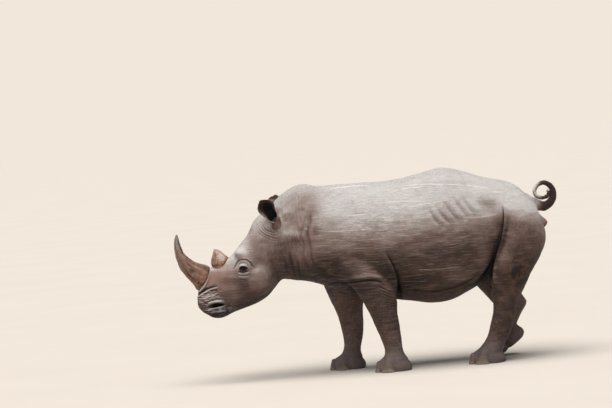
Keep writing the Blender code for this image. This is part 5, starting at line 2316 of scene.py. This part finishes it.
        # Legs, thighs, and the neck and head. On the legs the tone follows the slope as painted
        # light and shade, and the far legs are made paler by painted light.
        leg = ease(z, 0.78, 0.58) * ease(x, -0.62, -0.5)
        stand = 0.175 + 0.12 * ease(y, 0.0, 0.12) + 0.22 * np.clip(slope, -0.25, 0.25)
        stand += 0.05 * ease(z, 0.45, 0.25) * ease(x, 0.6, 0.4) - 0.05 * ease(x, 0.8, 0.95)
        tone_with_painted_light = np.where(leg > 0, tone_with_painted_light + leg * (stand - tone_with_painted_light), tone_with_painted_light)
        thigh = ease(x, 1.0, 1.14) * ease(z + wave, 1.34, 1.18)
        tone_with_painted_light -= 0.12 * thigh * ease(slope, 0.7, 0.2) * (1.0 - leg)
        fore = ease(x, -0.36, -0.5)
        tone_with_painted_light -= 0.07 * fore * ease(slope, 0.65, 0.3) * ease(slope, -0.4, -0.1)
        tone_with_painted_light -= 0.1 * fore * ease(slope, 0.4, 0.8) * ease(x, -0.75, -0.65)
        # Painted light and painted shade over broad areas, with some of the hide's own patches.
        for at_x, at_z, along, up, change in self.shades:
            tone_with_painted_light += (1.0 - leg) * (change * mound(x, z, (at_x, at_z), (along, up)))
        # The tail's tone is set dark, a little paler where it faces up: painted light and shade.
        tail = ease(x, 1.5, 1.56) * ease(z, 1.2, 1.26)
        tone_with_painted_light = np.where(tail > 0, tone_with_painted_light + tail * (0.07 + 0.04 * slope - tone_with_painted_light), tone_with_painted_light)
        for ear in self.ears:
            t, away, _ = ear.local(points)
            tone_with_painted_light *= 1.0 - ease(away, 0.13, 0.1) * ease(t, 1.3, 1.15) * (
                0.3 * ease(t, 0.05, 0.25) + 0.35 * ease(t, 0.5, 0.9))
        top = ease(slope, 0.8, 0.95) * ease(x, -0.75, -0.6)
        ripple = (ease(z, 1.5, 1.2) * ease(slope, 0.75, 0.35)
                  * (1.0 - 0.65 * ease(x, -0.72, -0.9)))
        # Painted sheen: glints on the wet lips, whose lower roughness is their own.
        lip = hill(x, -1.33, 0.1) * ease(z, 0.665, 0.65) * ease(z, 0.618, 0.63)
        glint = ease(value_noise(points, (0.02, 0.03, 0.012), 33), -0.25, 0.35)
        return {
            "tone_with_painted_light": tone_with_painted_light,
            "leg": np.maximum.reduce([leg, tail, 0.7 * thigh, 0.75 * top]),
            "upright": ease(x, -0.44, -0.52) * ease(x, -1.05, -0.85),
            "ripple": ripple * (1.0 - 0.55 * ease(x, 1.04, 1.14)),
            "mud": np.maximum(mound(x, z, (1.25, 0.78), (0.11, 0.13)),
                              mound(x, z, (1.09, 0.56), (0.05, 0.08))),
            "foot": ease(z, 0.26, 0.1),
            "wet": 0.9 * lip * glint,
            "rufous": np.maximum.reduce([
                mound(x, z, (-1.325, 0.935), (0.115, 0.085)) * ease(slope, 0.95, 0.5),
                0.35 * mound(x, z, (-0.5, 1.17), (0.08, 0.15)),
                0.8 * mound(x, z, (-1.27, 1.02), (0.11, 0.04)),
                0.8 * self.swelling(points)]),
        }

    def build(self) -> Object:
        """Folds the skin and writes its masks.

        Returns:
            The finished skin, thinned where it is plain.
        """
        skin = self.base()
        mesh = skin.data
        LOG.info("skin before folds: %d points", len(mesh.vertices))
        # Masks of painted shade in creases and hollows and of painted highlight on ridges and rims,
        # with the ears' linings.
        kept = {name: 0.0 for name in ("ridge_highlight", "hollow_shade", "lining", "rim")}
        points, kept["fold"] = self.fold(read_points(mesh), read_points(mesh, "normal"))
        found = []
        for part in (*self.eyes, *self.nostrils):
            points, shaped = part.shape(points)
            found.append(shaped)
        for pressed in (*found, *(ear.inside(points) for ear in self.ears)):
            for name, values in pressed.items():
                kept[name] = np.maximum(kept[name], values)
        points[:, 2] = np.maximum(points[:, 2], 0.0)
        mesh.vertices.foreach_set("co", points.astype(np.float32).ravel())
        mesh.update()
        kept |= self.masks(points, read_points(mesh, "normal"))
        for name, values in kept.items():
            write_mask(mesh, name, values)
        faces = sum(len(face.vertices) - 2 for face in mesh.polygons)
        thin = skin.modifiers.new("thin", "DECIMATE")
        thin.ratio = min(1.0, self.triangles / faces)
        skin = evaluated(skin, "hide")
        skin.data.shade_smooth()
        return skin

    def dress(self, skin: Object) -> None:
        """Gives the skin its finish and puts it in place of every node of flesh.

        Args:
            skin: The finished skin.
        """
        skin.data.materials.clear()
        skin.data.materials.append(self.finish.material())
        others = ("eye_", "horn_", "forenail_", "hindnail_")
        flesh = [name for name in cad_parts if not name.startswith(others)]
        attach(skin, "root")
        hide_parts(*flesh)


# ---- horns


@dataclass(frozen=True)
class Horn:
    """A horn: sections from root to tip, with ribbed fibres and a frayed root."""

    node: str
    rows: tuple[Section, ...]
    finish: HornFinish
    fibre: float
    fray: float
    dents: float
    rings: int = 150
    around: int = 132

    def build(self) -> Object:
        """The horn as a closed loft whose points move along their normals.

        The move is the fibre depth times noise that is fine round the horn and long along it, plus
        a frayed swelling near the root, plus broad dents.

        Returns:
            The horn.
        """
        points = loft_surface(self.rows, self.rings, self.around)
        share = np.linspace(0, 1, self.rings)[:, None]
        turn = circle(self.around)[None, :]
        ring = np.stack(np.broadcast_arrays(np.cos(turn), np.sin(turn), share), axis=-1)
        out = unit(points - points.mean(axis=1, keepdims=True))
        fibres = (value_noise(ring, (0.1, 0.1, 0.22), 21)
                  + 0.6 * value_noise(ring, (0.045, 0.045, 0.16), 22))
        frayed = hill(share, 0.12, 0.12) * (0.6 + value_noise(ring, (0.16, 0.16, 0.05), 23))
        dents = value_noise(points, 0.035, 24)
        move = (ease(share, 1.0, 0.75) * (self.fibre * fibres + self.dents * dents)
                + self.fray * frayed)
        made = closed_rings("fibrous_" + self.node, points + move[..., None] * out)
        self.chart(made.data)
        return made

    def chart(self, mesh: Mesh) -> None:
        """Maps (share round, share along) onto the horn. Faces over the seam reach past one.

        Args:
            mesh: The horn's mesh.
        """
        count = self.rings * self.around
        corners = corner_owners(mesh)
        starts = np.empty(len(mesh.polygons), np.int32)
        mesh.polygons.foreach_get("loop_start", starts)
        owner = np.searchsorted(starts, np.arange(len(corners)), side="right") - 1
        wall = corners < count
        turn = np.where(wall, corners % self.around / self.around, 0.0)
        along = np.where(wall, corners // self.around / (self.rings - 1), corners - count)
        most = np.maximum.reduceat(turn, starts)[owner]
        turn = np.where((most > 0.75) & (turn < 0.25), turn + 1.0, turn)
        write_map(mesh, "grain", np.stack([turn, along], axis=1))

    def dress(self, made: Object) -> None:
        """Gives the horn its finish and puts it in place of its node.

        Args:
            made: The horn.
        """
        made.data.materials.append(self.finish.material())
        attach(made, "root")
        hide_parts(self.node)


FRONT_HORN = Horn(
    "horn_front",
    sections(
        (-1.47, 0.834, -1.384, 0.975, 0.09, 0.0, 0.5, 2.2),
        (-1.506, 0.826, -1.392, 1.018, 0.094, 0.0, 0.5, 2.2),
        (-1.545, 0.886, -1.452, 1.046, 0.076),
        (-1.596, 0.95, -1.512, 1.073, 0.063),
        (-1.64, 1.022, -1.566, 1.118, 0.053),
        (-1.668, 1.108, -1.603, 1.168, 0.043),
        (-1.68, 1.195, -1.624, 1.232, 0.032),
        (-1.671, 1.27, -1.634, 1.288, 0.019),
        (-1.656, 1.316, -1.641, 1.321, 0.007)),
    HornFinish("front_horn", root=(0.3, 0.135, 0.075, 1.0), middle=(0.26, 0.15, 0.105, 1.0),
               tip=(0.36, 0.305, 0.29, 1.0), dark=(0.036, 0.015, 0.009, 1.0),
               scar=(0.42, 0.27, 0.19, 1.0), scarred=0.34, bands=0.1),
    fibre=0.0022, fray=0.004, dents=0.0022)

REAR_HORN = Horn(
    "horn_rear",
    sections(
        (-1.362, 0.985, -1.205, 1.0, 0.078),
        (-1.366, 1.042, -1.211, 1.04, 0.078),
        (-1.36, 1.085, -1.217, 1.078, 0.07),
        (-1.352, 1.118, -1.24, 1.108, 0.058),
        (-1.344, 1.145, -1.276, 1.141, 0.042),
        (-1.334, 1.166, -1.304, 1.16, 0.02)),
    HornFinish("rear_horn", root=(0.4, 0.15, 0.06, 1.0), middle=(0.48, 0.225, 0.125, 1.0),
               tip=(0.5, 0.4, 0.36, 1.0), dark=(0.07, 0.024, 0.01, 1.0),
               scar=(0.68, 0.56, 0.51, 1.0), scarred=0.5, bands=0.85,
               facet=(-1.275, 1.098, 0.04)),
    fibre=0.0016, fray=0.003, dents=0.005)


# ---- bristles


@dataclass(frozen=True)
class Bristles:
    """A tuft of coarse hairs: thin three-sided tapering spikes, each bent as it grows."""

    name: str
    finish: BristleFinish
    thickness: float
    shares: Row = (0.0, 0.3, 0.65)
    sides: int = 3
    patch: float = 0.003

    def faces(self) -> list:
        """The faces of one hair.

        Returns:
            Point numbers of its root, its walls and its tip.
        """
        sides, top = self.sides, (len(self.shares) - 1) * self.sides
        around = [(k, (k + 1) % sides) for k in range(sides)]
        walls = [(level + a, level + b, level + b + sides, level + a + sides)
                 for level in range(0, top, sides) for a, b in around]
        tip = [(top + a, top + b, top + sides) for a, b in around]
        return [tuple(reversed(range(sides))), *walls, *tip]

    def build(self, roots: Array, ways: Array, lengths: Array, bend: Array,
              charts: Array) -> Object:
        """All the hairs as one mesh.

        A hair's middle at share s is its root, plus s times its length along its way, plus s
        squared times its bend. Its radius falls evenly to nothing at its tip.

        Args:
            roots: Where each hair grows.
            ways: Unit vector of each hair.
            lengths: Length of each hair.
            bend: How far each hair's tip is carried aside.
            charts: Each root's place on an unwrap of the skin, two numbers.

        Returns:
            The tuft, with its map and the share along each hair kept.
        """
        count, levels, sides = len(roots), len(self.shares), self.sides
        share = np.array(self.shares)[None, :, None]
        grown = ways * lengths[:, None]
        middle = roots[:, None] + share * grown[:, None] + share**2 * bend[:, None]
        across = unit(np.cross(ways, (0.31, 0.17, 0.93)))
        over = np.cross(ways, across)
        angle = (np.arange(sides) * 2 * math.pi / sides)[None, :, None]
        ring = np.cos(angle) * across[:, None] + np.sin(angle) * over[:, None]
        radius = self.thickness * (1.0 - share[..., None])
        rings = (middle[:, :, None] + radius * ring[:, None]).reshape(count, -1, 3)
        points = np.concatenate([rings, (roots + grown + bend)[:, None]], axis=1)
        each = points.shape[1]
        made = add_mesh(self.name, points, [[n + hair * each for n in face]
                                            for hair in range(count) for face in self.faces()])
        along = np.append(np.repeat(self.shares, sides), 1.0)
        write_mask(made.data, "along", np.tile(along, count))
        turn = np.append(np.tile(np.arange(sides) / sides, levels), 0.5)
        spread = charts[:, None] + self.patch * np.stack([turn, along], axis=1)[None]
        write_map(made.data, "OFBake", spread.reshape(-1, 2)[corner_owners(made.data)])
        made.data.materials.append(self.finish.material())
        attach(made, "root")
        return made


@dataclass(frozen=True)
class Hair:
    """All the hair that the animal shows: ear fringes, the tail's tip and the lashes."""

    ears: tuple[Ear, ...]
    tail: Tail
    eyes: tuple[Eye, ...]
    per_ear: int = 230
    on_tail: int = 150
    per_lash: int = 22
    seed: int = 17

    def fringe(self, ear: Ear, chance: np.random.Generator) -> Object:
        """Bristles along an ear's upper rim, leaning out of it.

        Args:
            ear: The ear.
            chance: Where random numbers come from.

        Returns:
            The fringe.
        """
        along, opening, _ = ear.frame()
        pick = chance.uniform(-1.0, 1.0, self.per_ear)
        size, tip = np.abs(pick), np.abs(pick) < 0.55
        t = np.where(tip, 0.985, 0.985 - 0.62 * (size - 0.55) / 0.45)
        v = np.where(tip, pick / 0.55, np.sign(pick) * 0.99)
        roots = ear.surface(t, v, -0.4 * ear.thickness)
        inner = ear.surface(np.clip(t - 0.1, 0, 1), v * 0.9, -0.4 * ear.thickness)
        ways = unit(unit(roots - inner) + 0.3 * along + 0.25 * opening
                    + 0.35 * chance.normal(size=(self.per_ear, 3)))
        lengths = chance.uniform(0.008, 0.021, self.per_ear)
        bend = 0.25 * lengths[:, None] * chance.normal(size=(self.per_ear, 3))
        start = 0.1 if ear.side is Side.LEFT else 0.5
        charts = np.stack([start + 0.25 * (v + 1) / 2, 0.6 + 0.3 * t], axis=1)
        tuft = Bristles("ear_fringe_" + ear.side.word, BristleFinish("ear_hair_" + ear.side.word),
                        0.0008)
        return tuft.build(roots - 0.002 * ways, ways, lengths, bend, charts)

    def brush(self, chance: np.random.Generator, samples: int = 200) -> Object:
        """Bristles in two rows along the last stretch of the tail.

        Args:
            chance: Where random numbers come from.
            samples: How many places along the tail they can grow from.

        Returns:
            The brush.
        """
        path, radii = self.tail.path(samples), self.tail.radii(samples)
        place = chance.integers(round(0.86 * samples), samples - 1, self.on_tail)
        turn = (np.where(chance.random(self.on_tail) < 0.5, 0.0, math.pi)
                + chance.normal(0.0, 0.5, self.on_tail))
        along = unit(np.gradient(path, axis=0))[place]
        side = unit(np.cross(along, (0.0, 1.0, 0.0)))
        out = np.cos(turn)[:, None] * side + np.sin(turn)[:, None] * np.cross(along, side)
        roots = path[place] + 0.8 * radii[place][:, None] * out
        ways = unit(0.8 * along + 0.8 * out + 0.18 * chance.normal(size=(self.on_tail, 3)))
        lengths = chance.uniform(0.016, 0.034, self.on_tail)
        charts = np.stack([0.1 + 0.8 * place / samples, 0.1 + 0.05 * turn], axis=1)
        return Bristles("tail_brush", BristleFinish("tail_hair"), 0.001).build(
            roots, ways, lengths, 0.2 * lengths[:, None] * along, charts)

    def lashes(self, eye: Eye, chance: np.random.Generator) -> Object:
        """Short lashes along the upper lid.

        Args:
            eye: The eye.
            chance: Where random numbers come from.

        Returns:
            The lashes.
        """
        x = np.linspace(-0.85, 0.85, self.per_lash)
        a, b = x * eye.half_width, eye.upper_edge(x) + 0.002
        axes = eye.frame().axes()
        c = eye.dome(a**2 + b**2) - 0.001
        roots = eye.side.place(eye.centre) + np.stack([a, b, c], axis=1) @ axes
        lean = np.stack(np.broadcast_arrays(0.5 * x, 0.1, 1.0), axis=1)
        ways = unit(lean @ axes + 0.12 * chance.normal(size=(self.per_lash, 3)))
        lengths = chance.uniform(0.008, 0.013, self.per_lash)
        bend = np.repeat((-0.35 * 0.01 * axes[1])[None], self.per_lash, axis=0)
        charts = np.stack([0.5 + 0.2 * x, np.full(self.per_lash, 0.4)], axis=1)
        return Bristles("lashes_" + eye.side.word, BristleFinish("lash_hair_" + eye.side.word),
                        0.0005).build(roots, ways, lengths, bend, charts)

    def build(self) -> None:
        """All the tufts."""
        chance = np.random.default_rng(self.seed)
        for ear in self.ears:
            self.fringe(ear, chance)
        self.brush(chance)
        for eye in self.eyes:
            self.lashes(eye, chance)


# ---- studio


@dataclass(frozen=True)
class Studio:
    """A pale floor, a large soft light overhead, an even surround and the camera."""

    floor_radius: float = 260.0
    eye_point: Row = (-0.50085, -22.0, 2.2)
    aim_point: Row = (-0.50085, 0.0, 1.48856)
    roll: float = math.radians(5.0)
    lens: float = 148.8
    light_from: Row = (-0.1, -0.22, 1.0)
    light_colour: Row = (1.0, 0.985, 0.96)
    strength: float = 3.6
    softness: float = math.radians(60.0)
    lit: Row = (0.17, 0.175, 0.185, 1.0)
    seen: Row = (0.885, 0.799, 0.706, 1.0)

    def floor(self, rings: int = 14, around: int = 96) -> None:
        """A great disc at height zero, of rings that widen outwards.

        Args:
            rings: How many rings.
            around: Points in a ring.
        """
        spread = np.geomspace(2.0, self.floor_radius, rings)[:, None]
        turn = circle(around)[None, :]
        disc = np.stack(np.broadcast_arrays(spread * np.cos(turn), spread * np.sin(turn), 0.0),
                        axis=-1)
        points = np.vstack([disc.reshape(-1, 3), (0.0, 0.0, 0.0)])
        faces = grid_quads(rings, around, True)[:, [0, 3, 2, 1]].tolist()
        faces += [(len(points) - 1, n, (n + 1) % around) for n in range(around)]
        mesh = bpy.data.meshes.new("studio_floor")
        mesh.from_pydata(points.tolist(), [], faces)
        mesh.materials.append(FloorFinish().material())
        placed("studio_floor", mesh)

    def light(self) -> None:
        """A very soft light from overhead, a little forward and towards the camera."""
        lamp = bpy.data.lights.new("overhead", "SUN")
        lamp.energy, lamp.angle, lamp.color = self.strength, self.softness, self.light_colour
        towards = Vector(self.light_from).to_track_quat("Z", "Y")
        placed("overhead", lamp).rotation_euler = towards.to_euler()

    def surround(self) -> None:
        """A pale even surround that the camera sees brighter than it lights."""
        world = bpy.data.worlds.new("surround")
        world.use_nodes = True
        graph = Graph(world.node_tree)
        camera = graph.signal("ShaderNodeLightPath", {}, "Is Camera Ray")
        graph.fill(world.node_tree.nodes["Background"],
                   {"Color": graph.mix(camera, self.lit, self.seen)})
        bpy.context.scene.world = world

    def camera(self) -> None:
        """The camera, level with the animal's back and far off, rolled a little."""
        eye, aim = np.array(self.eye_point), np.array(self.aim_point)
        forward = unit(aim - eye)
        right = unit(np.cross(forward, (0.0, 0.0, 1.0)))
        up = np.cross(right, forward)
        cos, sin = math.cos(self.roll), math.sin(self.roll)
        columns = np.stack([right * cos - up * sin, up * cos + right * sin, -forward, eye], axis=1)
        lens = bpy.data.cameras.new("camera")
        lens.sensor_width, lens.lens, lens.clip_end = 36.0, self.lens, 600.0
        made = placed("camera", lens)
        made.matrix_world = Matrix([*columns.tolist(), [0.0, 0.0, 0.0, 1.0]])
        bpy.context.scene.camera = made

    def build(self) -> None:
        """Floor, light, surround and camera."""
        self.floor()
        self.light()
        self.surround()
        self.camera()
        bpy.context.scene.view_settings.view_transform = "Standard"


# ---- assembly


def main() -> None:
    """Builds every piece in order."""
    logging.basicConfig(level=logging.INFO, format="%(name)s: %(message)s")
    ears = (
        Ear(Side.LEFT, (-0.768, -0.226, 1.375), -0.621, 0.223, 1.33, 0.237),
        Ear(Side.RIGHT, (-0.792, 0.24, 1.392), 0.12, 0.02, 1.3, 0.21),
    )
    tail = Tail()
    eyes, nostrils = (tuple(kind(side) for side in Side) for kind in (Eye, Nostril))
    skin = Skin(Flesh(), ears, tail, eyes, nostrils)
    hide = skin.build()
    skin.dress(hide)
    LOG.info("skin: %d faces", len(hide.data.polygons))

    for horn in (FRONT_HORN, REAR_HORN):
        horn.dress(horn.build())
        LOG.info("%s built", horn.node)

    eye_finish = EyeFinish().material()
    for eye in eyes:
        ball = eye.build()
        ball.data.materials.append(eye_finish)
        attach(ball, "root")
        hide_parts("eye_" + eye.side.word)
    LOG.info("eyes built")

    nail_finish = NailFinish().material()
    for foot in FEET:
        name = foot.name.replace("foot", "nail")
        nails = foot.build()
        nails.data.materials.append(nail_finish)
        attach(nails, "root")
        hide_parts(*(f"{name}_{place}" for place in ("inner", "middle", "outer")))
    LOG.info("toenails built")

    Hair(ears, tail, eyes).build()
    LOG.info("bristles built")

    Studio().build()


if __name__ == "__main__":
    main()
